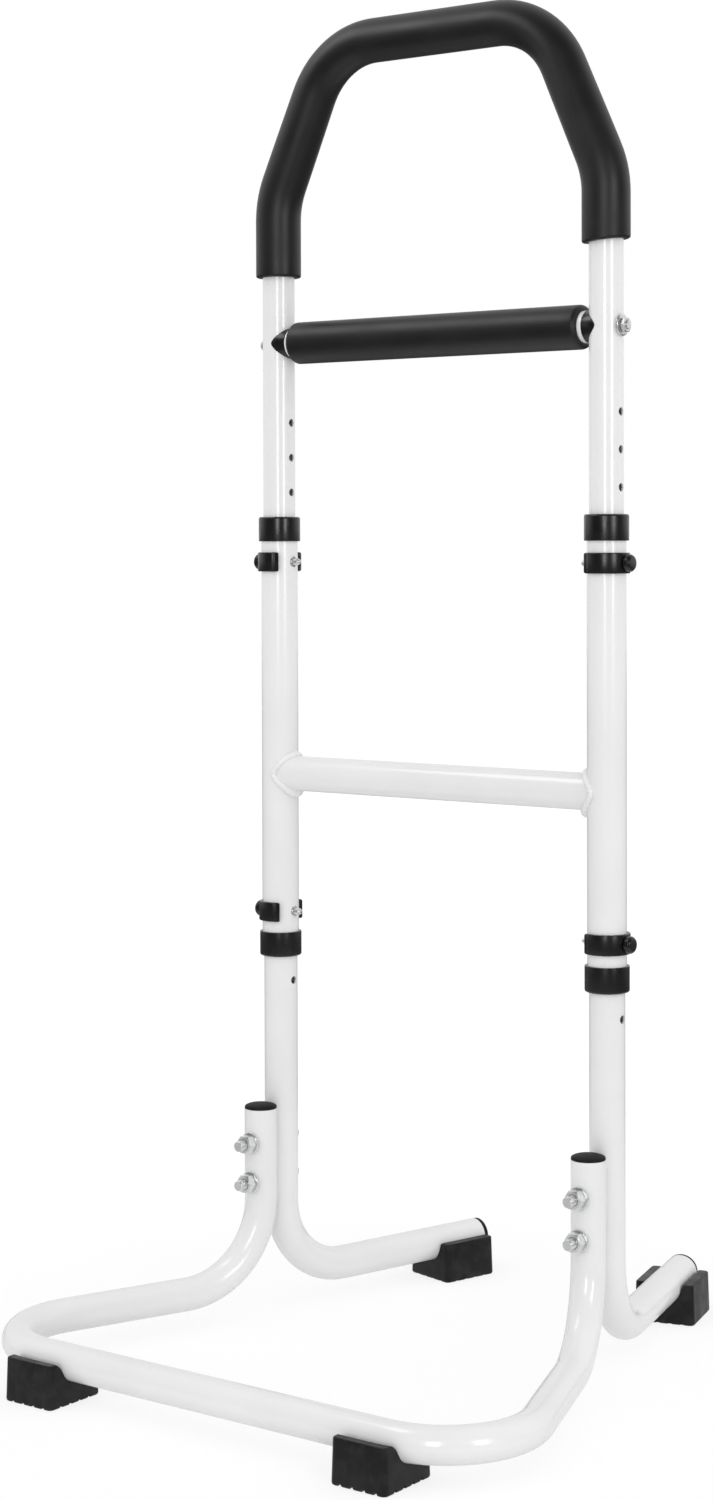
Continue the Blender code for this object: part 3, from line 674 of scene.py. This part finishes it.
def boltMesh(size, grip, count=32, rowsPerTurn=6):  # head seat at 0, shank along local Z, thread at its end
    radius, pitch, end = size["radius"], size["pitch"], grip + size["tip"]
    begin, depth = end - size["threaded"], fastener["threadDepth"] * pitch
    head, tall = size["head"], size["headHeight"]
    wide, high, bend = fastener["crown"]
    dome = [
        (0, -tall, 0),
        (wide * head, -high * tall, bend * head),
        (head, -fastener["rimHeight"] * tall, fastener["rimEdge"]),
        (head, 0, fastener["seatEdge"]),
    ]
    bm = bmesh.new()
    loops = []
    for r, z in filleted(dome + [(radius, 0, 0)], steps=6):
        around = turns(count) if r else [(0, 0)]
        loops.append([bm.verts.new((r * cos, r * sin, z)) for cos, sin in around])
    rowCount = round(size["threaded"] / pitch * rowsPerTurn)
    for k in range(rowCount + 1):
        z = begin + size["threaded"] * k / rowCount
        runOut = max(0, end - size["plain"] - z)
        groove = depth * min(1, (z - begin) / pitch, runOut / pitch)
        chamfered = radius - fastener["endSlope"] * max(0, z - end + size["edge"])
        loop = []
        for i, (cos, sin) in enumerate(turns(count)):
            wave = abs(((z / pitch - i / count) % 1) * 2 - 1)  # 0 at the root, 1 at the crest
            r = min(radius - groove * (1 - wave), chamfered)
            loop.append(bm.verts.new((r * cos, r * sin, z)))
        loops.append(loop)
    loops.append([bm.verts.new((0, 0, end))])
    bolt = skinned(bm, loops)
    corner = 1.155 * size["socket"]  # a hexagon key is this much wider over its corners
    wall, floor = -fastener["socketWall"] * tall, -fastener["socketFloor"] * tall
    key = lathed([(0, -2 * tall), (corner, -2 * tall), (corner, wall), (0, floor)], count=6)
    return cutFrom(moved(bolt, Matrix.Scale(mm, 4)), moved(key, Matrix.Scale(mm, 4)))


def nutMesh(size, count=72):  # six flats with a turned edge on both faces
    half, height, bore = size["flats"] / 2, size["nutHeight"], size["radius"] + gap / mm / 2
    flat, edge, sixth = fastener["nutFace"] * half, fastener["nutEdge"], math.pi / 3
    bm = bmesh.new()
    columns = []
    for i, (cos, sin) in enumerate(turns(count)):
        reach = half / math.cos(2 * math.pi * i / count % sixth - sixth / 2)
        drop = (reach - flat) * math.tan(math.radians(fastener["nutSlope"]))
        lower = [(bore, edge), (bore + edge, 0), (flat, 0), (reach, drop)]
        section = lower + [(r, height - z) for r, z in reversed(lower)]
        columns.append([bm.verts.new((r * cos, r * sin, z)) for r, z in section])
    return moved(skinned(bm, columns, closed=True), Matrix.Scale(mm, 4))


def washerMesh(size):
    inner, outer, top = size["radius"] + gap / mm, size["washer"], size["washerHeight"]
    hole, under = fastener["washerHole"], fastener["washerUnder"]
    corners = [(inner, 0, hole), (outer, 0, under), (outer, top, size["washerEdge"]), (inner, top, hole)]
    return moved(lathed(filleted(corners, closed=True, steps=4), hollow=True), Matrix.Scale(mm, 4))


def fasten(name, node, size, seat, direction, grip, body):  # head on its seat, washer and nut past the grip
    clear = gap / mm
    washerAt = grip / mm + clear
    nutAt = washerAt + size["washerHeight"] + clear
    boltGrip = nutAt + size["nutHeight"] + clear
    axis = Vector(direction)
    for title, mesh, at in (
        ("bolt", boltMesh(size, boltGrip), -clear),
        ("washer", washerMesh(size), washerAt),
        ("nut", nutMesh(size), nutAt),
    ):
        moved(mesh, aimed(Vector(seat) + axis * at * mm, axis))
        place(f"{name}.{title}", mesh, body, zincPlate, "zinc_plate", f"{node}_{title}", sharp=25)


outside = legX + handle["radius"]
fasten("crossTie", "cross_tie", m6, (-outside, legY, crossZ), (1, 0, 0), 2 * outside, "handle")

# Middle frame: two posts, the welded crossbar and a guide collar at each post end
post = {"radius": 14.25 * mm, "wall": 1 * mm, "holeRadius": 4.1 * mm}
crossbar = {
    "radius": 13.5 * mm,
    "wall": 1.2 * mm,
    "height": middleOf("frame_crossbar").z,
    "standOff": 0.8 * mm,  # of the weld bead's middle from both tubes
    "beadSide": 2.1 * mm,
    "beadTop": 2.9 * mm,
    "beadUnder": 4.2 * mm,
    "lump": 0.12,
    "lumps": 26,
    "sway": 0.05,
    "melt": 0.1 * mm,  # the bar goes this far into the posts' walls
}
collar = {
    "outer": 16.2 * mm,
    "seat": 14.55 * mm,
    "height": 19 * mm,
    "lip": 3 * mm,
    "topEdge": 1.6 * mm,
    "edge": 0.5 * mm,
    "seatEdge": 0.2 * mm,
    "lipEdge": 0.3 * mm,
    "fromPin": 16 * mm,
}

for name, s in sides.items():
    line = bentPath([(s * legX, legY, lowOf("post_right")), (s * legX, legY, highOf("post_right"))], [])
    tube = tubeAlong(line, post["radius"], post["wall"], powderCoat)
    apart = pinZ["upper"] - pinZ["lower"]
    hole = drill(post["holeRadius"], 4 * post["radius"], (1, 0, 0))
    pins = rowOf(hole, 2, (s * legX, legY, pinZ["lower"]), (0, 0, apart), powderCoat)
    tube = cutFrom(tube, pins)
    place(f"post.{name}", tube, "middle_frame", powderCoat, "white_powder_coat", f"post_{name}")


def weldBead(s, count=180, points=12):  # a lumpy rope round the bar, heavier underneath
    around, onPost = crossbar["radius"] + crossbar["standOff"], post["radius"] + crossbar["standOff"]
    centre = Vector((s * legX, legY, crossbar["height"]))
    spots, radii = [], []
    for i in range(count):
        a = 2 * math.pi * i / count
        y, z = around * math.cos(a), around * math.sin(a)
        spots.append(Vector((s * (legX - math.sqrt(onPost**2 - y**2)), legY + y, crossbar["height"] + z)))
        lump = abs(math.sin(crossbar["lumps"] * a / 2)) * crossbar["lump"]
        lump += crossbar["sway"] * math.sin(3 * a + s)
        rise = crossbar["beadTop"] if z > 0 else crossbar["beadUnder"]
        radii.append((crossbar["beadSide"] + (rise - crossbar["beadSide"]) * math.sin(a) ** 4) * (1 + lump))
    bm = bmesh.new()
    loops = []
    for i, (spot, radius) in enumerate(zip(spots, radii)):
        heading = (spots[(i + 1) % count] - spots[i - 1]).normalized()
        out = spot - centre
        across = (out - heading * out.dot(heading)).normalized()
        third = heading.cross(across)
        spokes = [cos * across + sin * third for cos, sin in turns(points)]
        loops.append([bm.verts.new(spot + radius * spoke) for spoke in spokes])
    return skinned(bm, loops, closed=True)


def weldedBar():
    centre = Matrix.Translation((0, legY, crossbar["height"]))
    bar = moved(drill(crossbar["radius"], 2 * legX, (1, 0, 0), fineSides), centre)
    bar = combined("UNION", bar, *[weldBead(s) for s in sides.values()])
    bore = moved(drill(crossbar["radius"] - crossbar["wall"], 4 * legX, (1, 0, 0), fineSides), centre)
    posts = []
    for s in sides.values():
        spot = Matrix.Translation((s * legX, legY, crossbar["height"]))
        posts.append(moved(drill(post["radius"] - crossbar["melt"], through, up, fineSides), spot))
    return cutFrom(bar, *posts, bore)  # in this order the mesh stays closed


place("frameCrossbar", weldedBar(), "middle_frame", powderCoat, "white_powder_coat", "frame_crossbar")

for end, way, tubeRadius in (("lower", -1, legRadius), ("upper", 1, handle["radius"])):
    lip = tubeRadius + gap
    top, low = collar["height"], collar["height"] - collar["lip"]
    profile = filleted(
        [
            (collar["seat"], 0, collar["seatEdge"]),
            (collar["outer"], 0, collar["edge"]),
            (collar["outer"], top, collar["topEdge"]),
            (lip, top, collar["edge"]),
            (lip, low, collar["lipEdge"]),
            (collar["seat"], low, 0),
        ],
        closed=True,
    )
    spin = Matrix.Rotation(0 if way > 0 else math.pi, 4, "X")
    for name, s in sides.items():
        spot = Matrix.Translation((s * legX, legY, pinZ[end] + way * collar["fromPin"]))
        mesh = moved(lathed(profile, count=80, hollow=True), spot @ spin)
        node = f"collar_{end}_{name}"
        place(f"collar.{end}.{name}", mesh, "middle_frame", mouldedNylon, "black_plastic", node)
print("middle frame placed")

# Snap clips: a C band with two ribs, a domed knob and a steel pin; turns in degrees
clip = {
    "inner": 14.55 * mm,
    "thick": 2.3 * mm,
    "height": 14.9 * mm,
    "opening": 109,
    "corner": 0.7 * mm,
    "rib": 0.5 * mm,
    "ribWidth": 5,
    "ribFromEnd": 16,
    "lip": 1.2 * mm,  # the ends turn out so that the band snaps on
    "lipTurn": 9,
    "slim": 0.35,  # the tips thin out a little, and grow shorter by a share of that
    "slimTurn": 4,
    "slimShort": 0.3,
    "knobRadius": 6.2 * mm,
    "knobHeight": 5.3 * mm,
    # shares of the knob's radius and height, and the rounding there
    "knobRim": ((1, 0, 0.3 * mm), (1, 0.62, 0.9 * mm), (0.78, 0.94, 1.6 * mm)),
    "pinRadius": 2.75 * mm,
    "pinReach": 20.7 * mm,
    "pinInKnob": 2.2 * mm,
    # a rounded tip, its rounding last, and then a groove behind it, all as shares of the pin's radius
    "pinTip": ((0, 0, 0), (0.55, 0.05, 0.3), (1, 0.95, 0.7)),
    "pinGroove": ((1, 2.1, 0), (0.86, 2.2, 0), (0.86, 2.6, 0), (1, 2.7, 0)),
}


def bandMesh(count=120):  # about local Z, open towards -X
    half = 180 - clip["opening"] / 2
    bm = bmesh.new()
    loops = []
    for k in range(count + 1):
        angle = -half + 2 * half * k / count
        fromEnd = half - abs(angle)
        rise = max(0, 1 - ((fromEnd - clip["ribFromEnd"]) / (clip["ribWidth"] / 2)) ** 2)
        slim = max(0, 1 - fromEnd / clip["slimTurn"]) ** 2 * clip["slim"]
        lip = clip["lip"] * max(0, 1 - fromEnd / clip["lipTurn"]) ** 2
        inner = clip["inner"] + slim * clip["thick"] / 2 + lip
        outer = clip["inner"] + clip["thick"] * (1 - slim / 2) + clip["rib"] * math.sqrt(rise) + lip
        tall = clip["height"] / 2 * (1 - slim * clip["slimShort"])
        corner = clip["corner"] * (1 - slim)
        below = [(inner, -tall, corner / 2), (outer, -tall, corner)]
        section = filleted(below + [(r, -z, edge) for r, z, edge in reversed(below)], closed=True, steps=3)
        turn = math.radians(angle)
        loops.append([bm.verts.new((r * math.cos(turn), r * math.sin(turn), z)) for r, z in section])
    return skinned(bm, loops, capped=True)


def knobMesh():
    r, top = clip["knobRadius"], clip["knobHeight"]
    rim = [(x * r, z * top, edge) for x, z, edge in clip["knobRim"]]
    return lathed(filleted([(0, 0, 0)] + rim + [(0, top, 0)], steps=6))


def pinMesh(length):
    r = clip["pinRadius"]
    tip = [(x * r, z * r, edge * r) for x, z, edge in clip["pinTip"] + clip["pinGroove"]]
    return lathed(filleted(tip + [(r, length, 0), (0, length, 0)]), count=40)


knobAt = clip["inner"] + clip["thick"] + gap
for end in ("lower", "upper"):
    for name, s in sides.items():
        body, node = f"clip_{end}_{name}", f"{end}_{name}"
        centre = Vector((s * legX, legY, pinZ[end]))
        out = Vector((s, 0, 0))
        spin = Matrix.Rotation(0 if s > 0 else math.pi, 4, "Z")
        band = moved(bandMesh(), Matrix.Translation(centre) @ spin)
        place(f"clipBand.{end}.{name}", band, body, mouldedNylon, "black_plastic", f"clip_band_{node}")
        knob = moved(knobMesh(), aimed(centre + out * knobAt, out))
        place(f"clipKnob.{end}.{name}", knob, body, mouldedNylon, "black_plastic", f"clip_knob_{node}")
        length = clip["pinReach"] + knobAt + clip["pinInKnob"]
        pin = moved(pinMesh(length), aimed(centre - out * clip["pinReach"], out))
        place(f"clipPin.{end}.{name}", pin, body, zincPlate, "zinc_plate", f"clip_pin_{node}")
print("clips placed")

# Base: front tube with its stubs, two rear legs, bolts, plugs and feet; splays in degrees
base = {
    "radius": 12.5 * mm,
    "wall": 1.2 * mm,
    "stubOffset": 25.75 * mm,  # from the leg's axis to the stub's
    "frontSplay": 20.6,
    "frontBend": 66 * mm,
    "cornerBend": 62.5 * mm,
    "rearReach": 199 * mm,
    "rearSplay": 15.0,
    "rearBend": 59 * mm,
    "rearHoles": 3,
    "holePitch": 27 * mm,
    "holeRadius": 3.05 * mm,
    "boltHole": 4.3 * mm,
}
axisZ = lowOf("front_base_tube") + base["radius"]
stubTop, legTop = highOf("front_base_tube"), highOf("rear_leg_right")
boltZ = [middleOf(f"base_{end}_right_washer").z for end in ("lower", "upper")]
stubY, frontY = legY - base["stubOffset"], middleOf("front_foot_right").y
cornerX = legX + (stubY - frontY) * math.tan(math.radians(base["frontSplay"]))


def frontLine():
    half = [(legX, stubY, stubTop), (legX, stubY, axisZ), (cornerX, frontY, axisZ)]
    bends = [base["frontBend"], base["cornerBend"], base["cornerBend"], base["frontBend"]]
    return bentPath([(-x, y, z) for x, y, z in half] + half[::-1], bends)


def backOf(s):
    turn = math.radians(base["rearSplay"])
    return Vector((-s * math.sin(turn), math.cos(turn), 0))


def rearLine(s, reach):
    corner = Vector((s * legX, legY, axisZ))
    return bentPath([(s * legX, legY, legTop), corner, corner + backOf(s) * reach], [base["rearBend"]])


def boltHoles(y):
    hole = drill(base["boltHole"], 3 * base["radius"], (0, 1, 0))
    return [
        rowOf(hole.copy(), 2, (s * legX, y, boltZ[0]), (0, 0, boltZ[1] - boltZ[0]), powderCoat)
        for s in sides.values()
    ]


tube = tubeAlong(frontLine(), base["radius"], base["wall"], powderCoat)
tube = cutFrom(tube, *boltHoles(stubY))
place("frontBaseTube", tube, "base", powderCoat, "white_powder_coat", "front_base_tube")

for name, s in sides.items():
    tube = tubeAlong(rearLine(s, base["rearReach"]), legRadius, base["wall"], powderCoat)
    hole = drill(base["holeRadius"], 4 * legRadius, (1, 0, 0))
    step = (0, 0, -base["holePitch"])
    row = rowOf(hole, base["rearHoles"], (s * legX, legY, pinZ["lower"]), step, powderCoat)
    tube = cutFrom(tube, row, *boltHoles(legY))
    place(f"rearLeg.{name}", tube, "base", powderCoat, "white_powder_coat", f"rear_leg_{name}")
    for end, z in zip(("lower", "upper"), boltZ):
        seat = (s * legX, legY + legRadius, z)
        grip = legRadius + base["stubOffset"] + base["radius"]
        fasten(f"baseBolt.{end}.{name}", f"base_{end}_{name}", m8, seat, (0, -1, 0), grip, "base")
print("base tubes and bolts placed")

plug = {
    "inset": 0.1 * mm,
    "length": 10 * mm,
    "entry": 0.8 * mm,  # tapered end that finds its way into the tube
    "tip": 0.9,  # shares of its radius at that end and above the taper
    "full": 0.96,
    "stubDome": 4.2 * mm,
    "stubRim": 1.3 * mm,
    "rearDome": 4.5 * mm,
    "rearRim": 3.4 * mm,
}


def plugMesh(tubeRadius, dome, rim, steps=12):
    flange, body = tubeRadius - plug["inset"], tubeRadius - base["wall"] - gap
    tip, full = plug["tip"] * body, plug["full"] * body
    inside = [(0, -plug["length"]), (tip, -plug["length"]), (full, plug["entry"] - plug["length"])]
    quarter = [math.pi / 2 * k / steps for k in range(steps)]
    crown = [(flange * math.cos(a), rim + (dome - rim) * math.sin(a)) for a in quarter]
    return lathed(inside + [(body, gap), (flange, gap)] + crown + [(0, dome)])


for name, s in sides.items():
    stub = plugMesh(base["radius"], plug["stubDome"], plug["stubRim"])
    moved(stub, aimed((s * legX, stubY, stubTop), up))
    place(f"stubPlug.{name}", stub, "base", plugPlastic, "black_plastic", f"stub_plug_{name}")
    end = Vector((s * legX, legY, axisZ)) + backOf(s) * base["rearReach"]
    rear = plugMesh(legRadius, plug["rearDome"], plug["rearRim"])
    moved(rear, aimed(end, backOf(s)))
    place(f"rearPlug.{name}", rear, "base", plugPlastic, "black_plastic", f"rear_plug_{name}")

# Rubber feet: drafted blocks with rounded edges, a flared saddle for the tube and a waffle sole
foot = {
    "front": {"along": 45 * mm, "across": 52 * mm, "flare": 6 * mm, "tread": 2.8 * mm},
    "rear": {"along": 51 * mm, "across": 48 * mm, "flare": 2 * mm, "tread": 0.7 * mm},
    "corner": 4.5 * mm,
    "innerCorner": 0.5 * mm,
    "soleEdge": 1.8 * mm,
    "topEdge": 1.2 * mm,
    "draft": 1.1 * mm,
    "flat": 4 * mm,  # the rounding of sole and top ends within this of the sides
    "grooves": 4,
    "groovePitch": 9.5 * mm,
    "grooveWidth": 3 * mm,
    # half of a groove's section: shares of its half width, of its depth, and of its depth for the bend
    "grooveShape": ((2.4, -1, 0), (1, 0.45, 0.5), (0.9, 1, 0.4)),
    # the saddle's opening, as shares of the flare at heights from the tube's axis
    "saddle": ((1.7, 20 * mm), (1.7, 6 * mm), (1, 3.2 * mm), (0.72, 1.8 * mm), (0.36, 0), (0.1, -2.5 * mm)),
    "underFrom": 24,  # degrees below the tube's axis, where the saddle follows the tube
    "saddleReach": 70 * mm,
    "saddlePast": 80 * mm,  # the rear saddle runs out of the foot's back
}


def footBlock(size):
    top, flat = highOf("front_foot_right"), foot["flat"]
    side = [(0, 0, foot["soleEdge"]), (foot["draft"], top, foot["topEdge"])]
    rise = filleted([(flat, 0, 0), *side, (flat, top, 0)])
    bm = bmesh.new()
    loops = []
    for inset, z in rise:
        x, y = size["along"] / 2 - inset, size["across"] / 2 - inset
        corner = max(foot["corner"] - inset, foot["innerCorner"])
        corners = [(-x, -y, corner), (x, -y, corner), (x, y, corner), (-x, y, corner)]
        outline = filleted(corners, closed=True, steps=8)
        loops.append([bm.verts.new((px, py, z)) for px, py in outline])
    return skinned(bm, loops, capped=True)


def soleGrooves(depth):  # they open out at the sole, so that the lugs look round
    w, d = foot["grooveWidth"] / 2, depth
    half = [(x * w, z * d, bend * d) for x, z, bend in foot["grooveShape"]]
    whole = half + [(-x, z, bend) for x, z, bend in reversed(half)]
    groove = extruded(filleted(whole, closed=True, steps=4), through)
    first = (1 - foot["grooves"]) / 2 * foot["groovePitch"]
    along = rowOf(groove, foot["grooves"], (0, first, 0), (0, foot["groovePitch"], 0), mouldedRubber)
    return along, moved(along.copy(), Matrix.Rotation(math.pi / 2, 4, "Z"))


def saddleCutter(path, spot, radius, flare):  # the tube's underside, opening out towards the foot's top
    half = [(radius + share * flare, height) for share, height in foot["saddle"]]
    turned = [math.radians(d) for d in range(foot["underFrom"], 181 - foot["underFrom"], 6)]
    under = [(radius * math.cos(a), -radius * math.sin(a)) for a in turned]
    section = half + under + [(-x, y) for x, y in reversed(half)]
    bm = bmesh.new()
    loops = []
    for here, heading in path:
        if abs(heading.z) < 1e-4 and (here - spot).xy.length < foot["saddleReach"]:
            across = heading.cross(up)
            loops.append([bm.verts.new(here + across * x + up * y) for x, y in section])
    return skinned(bm, loops, capped=True)


for name, s in sides.items():
    for end, heading, line, radius in (
        ("front", Vector((1, 0, 0)), frontLine(), base["radius"]),
        ("rear", backOf(s), rearLine(s, base["rearReach"] + foot["saddlePast"]), legRadius),
    ):
        node, size = f"{end}_foot_{name}", foot[end]
        spot = middleOf(node)
        spin = Matrix.Rotation(math.atan2(heading.y, heading.x), 4, "Z")
        stance = Matrix.Translation((spot.x, spot.y, 0)) @ spin
        grooves = [moved(groove, stance) for groove in soleGrooves(size["tread"])]
        saddle = saddleCutter(line, spot, radius + gap, size["flare"])
        mesh = cutFrom(moved(footBlock(size), stance), saddle, *grooves)
        place(f"foot.{end}.{name}", mesh, "base", mouldedRubber, "black_rubber", node)
print("plugs and feet placed")

# Floor, light and camera; lengths in metres, turns in degrees
studio = {
    # soft light of the room, from behind the object round to its bright side
    "fill": {"From Min": -1, "From Max": 1, "To Min": 0.32, "To Max": 1.35},
    "fillTurn": 10,  # the bright side, to the right of the camera and above it
    "fillRise": 2,
    # the room as gloss shows it, from white behind the object to dim behind the camera
    "room": {"From Min": -0.25, "From Max": 0.3, "To Min": 1.0, "To Max": 0.06},
    "floorRadius": 12,
    "floorPale": "#F9F9F9",
    "floorWhite": 1.06,
    # the floor's own glow as gloss shows it, by distance from the object: a painted reflection, bright near
    # the object and dim further off
    "floorGlowInGloss": {"From Min": 0.55, "From Max": 1.0, "To Min": 0.85, "To Max": 0.15},
    # share of the floor that glows, by distance; the rest takes the shadow
    "floorGlow": {"From Min": 0.35, "From Max": 0.9, "To Min": 0.75, "To Max": 1.0},
    "lampAim": 0.7,
}
shot = {  # fitted to the outlines of the tubes in the photo
    "right": 1.1833,
    "ahead": 1.6725,
    "height": 0.6056,
    "turn": (89.02, 0.165, 36.94),
    "lens": 65.69,
    "sensor": 36,
    "shift": -0.1103,
}
centre = Vector((0, legY, 0))
cameraSpot = Vector((shot["right"], legY - shot["ahead"], shot["height"]))
towards = ((cameraSpot - centre) * Vector((1, 1, 0))).normalized()


def fromCamera(turn, rise=0):  # a direction turned to the camera's right and raised
    around = math.atan2(towards.y, towards.x) + math.radians(turn)
    level = math.cos(math.radians(rise))
    return Vector((math.cos(around) * level, math.sin(around) * level, math.sin(math.radians(rise))))


def rayKinds(tree):  # whether a ray comes from the camera, and whether it comes off gloss or through glass
    rays = addNode(tree, "ShaderNodeLightPath").outputs
    pair = {0: rays["Is Glossy Ray"], 1: rays["Is Transmission Ray"]}
    shiny = addNode(tree, "ShaderNodeMath", pair, operation="MAXIMUM")
    return rays["Is Camera Ray"], shiny.outputs[0]


world = bpy.data.worlds.new("studioWhite")
scene.world = world
world.use_nodes = True
tree = world.node_tree
tree.nodes.clear()
seen, shiny = rayKinds(tree)
way = addNode(tree, "ShaderNodeTexCoord").outputs["Generated"]
levels = {}
for title, side in (("room", towards), ("fill", fromCamera(studio["fillTurn"], studio["fillRise"]))):
    facing = addNode(tree, "ShaderNodeVectorMath", {0: way, 1: side}, operation="DOT_PRODUCT")
    spread = {"Value": facing.outputs["Value"], **studio[title]}
    levels[title] = addNode(tree, "ShaderNodeMapRange", spread).outputs["Result"]
level = addNode(tree, "ShaderNodeMix", {"Factor": shiny, "A": levels["fill"], "B": levels["room"]})
level = addNode(tree, "ShaderNodeMix", {"Factor": seen, "A": level.outputs["Result"], "B": 1.0})
sky = addNode(tree, "ShaderNodeBackground", {"Color": (1, 1, 1, 1), "Strength": level.outputs["Result"]})
addNode(tree, "ShaderNodeOutputWorld", {"Surface": sky.outputs["Background"]})

# White studio paper that glows: white to the eye, a painted reflection in gloss that is bright near the object
# and dim further off, and it takes a soft shadow near the object
floorPaper, tree, where = newFinish("studioPaper")
seen, shiny = rayKinds(tree)
shown = addNode(tree, "ShaderNodeMath", {0: shiny, 1: seen}, operation="MAXIMUM").outputs[0]
away = addNode(tree, "ShaderNodeVectorMath", {0: where}, operation="LENGTH").outputs["Value"]
near = addNode(tree, "ShaderNodeMapRange", {"Value": away, **studio["floorGlow"]}).outputs["Result"]
share = addNode(tree, "ShaderNodeMath", {0: shown, 1: near}, operation="MULTIPLY").outputs[0]
# painted reflection: how brightly the floor glows in gloss, by distance from the object
gloss = addNode(tree, "ShaderNodeMapRange", {"Value": away, **studio["floorGlowInGloss"]}).outputs["Result"]
bright = addNode(tree, "ShaderNodeMix", {"Factor": seen, "A": gloss, "B": studio["floorWhite"]})
paper = addNode(tree, "ShaderNodeBsdfDiffuse", {"Color": linear(studio["floorPale"])})
glow = addNode(tree, "ShaderNodeEmission", {"Color": (1, 1, 1, 1), "Strength": bright.outputs["Result"]})
both = addNode(tree, "ShaderNodeMixShader", {"Fac": share, 1: paper.outputs[0], 2: glow.outputs[0]})
addNode(tree, "ShaderNodeOutputMaterial", {"Surface": both.outputs[0]})

bm = bmesh.new()
bmesh.ops.create_circle(bm, cap_ends=True, segments=96, radius=studio["floorRadius"])
floorMesh = toMesh(bm)
floorMesh.materials.append(floorPaper)
floor = bpy.data.objects.new("studioFloor", floorMesh)
scene.collection.objects.link(floor)

cameraData = bpy.data.cameras.new("photoCamera")
cameraData.lens = shot["lens"]
cameraData.sensor_width = shot["sensor"]
cameraData.shift_y = shot["shift"]
camera = bpy.data.objects.new("photoCamera", cameraData)
camera.location = cameraSpot
camera.rotation_euler = [math.radians(a) for a in shot["turn"]]
scene.collection.objects.link(camera)
scene.camera = camera

# lamps for the highlights alone; bright is how bright a lamp's face looks
lamps = {
    "stripLeft": {"turn": -10.5, "low": 0.5, "high": 1.6, "wide": 0.55, "away": 2.6, "bright": 6.5},
    "stripRight": {"turn": 35, "low": 0.5, "high": 1.6, "wide": 0.55, "away": 2.6, "bright": 6.5},
    # so near that the foam alone shows it
    "topLeft": {"turn": -79, "low": 1.2, "high": 1.55, "wide": 0.6, "away": 0.65, "bright": 2.6},
}
for name, lamp in lamps.items():
    middle = centre + fromCamera(lamp["turn"]) * lamp["away"] + up * (lamp["low"] + lamp["high"]) / 2
    lampData = bpy.data.lights.new(name, "AREA")
    lampData.shape = "RECTANGLE"
    lampData.size, lampData.size_y = lamp["wide"], lamp["high"] - lamp["low"]
    lampData.energy = 4 * lamp["bright"] * lampData.size * lampData.size_y  # watts for that brightness
    stand = bpy.data.objects.new(name, lampData)
    stand.location = middle
    stand.rotation_euler = (centre + up * studio["lampAim"] - middle).to_track_quat("-Z", "Y").to_euler()
    stand.visible_diffuse = False
    scene.collection.objects.link(stand)
scene.view_settings.view_transform = "Standard"
print("floor, light and camera ready")
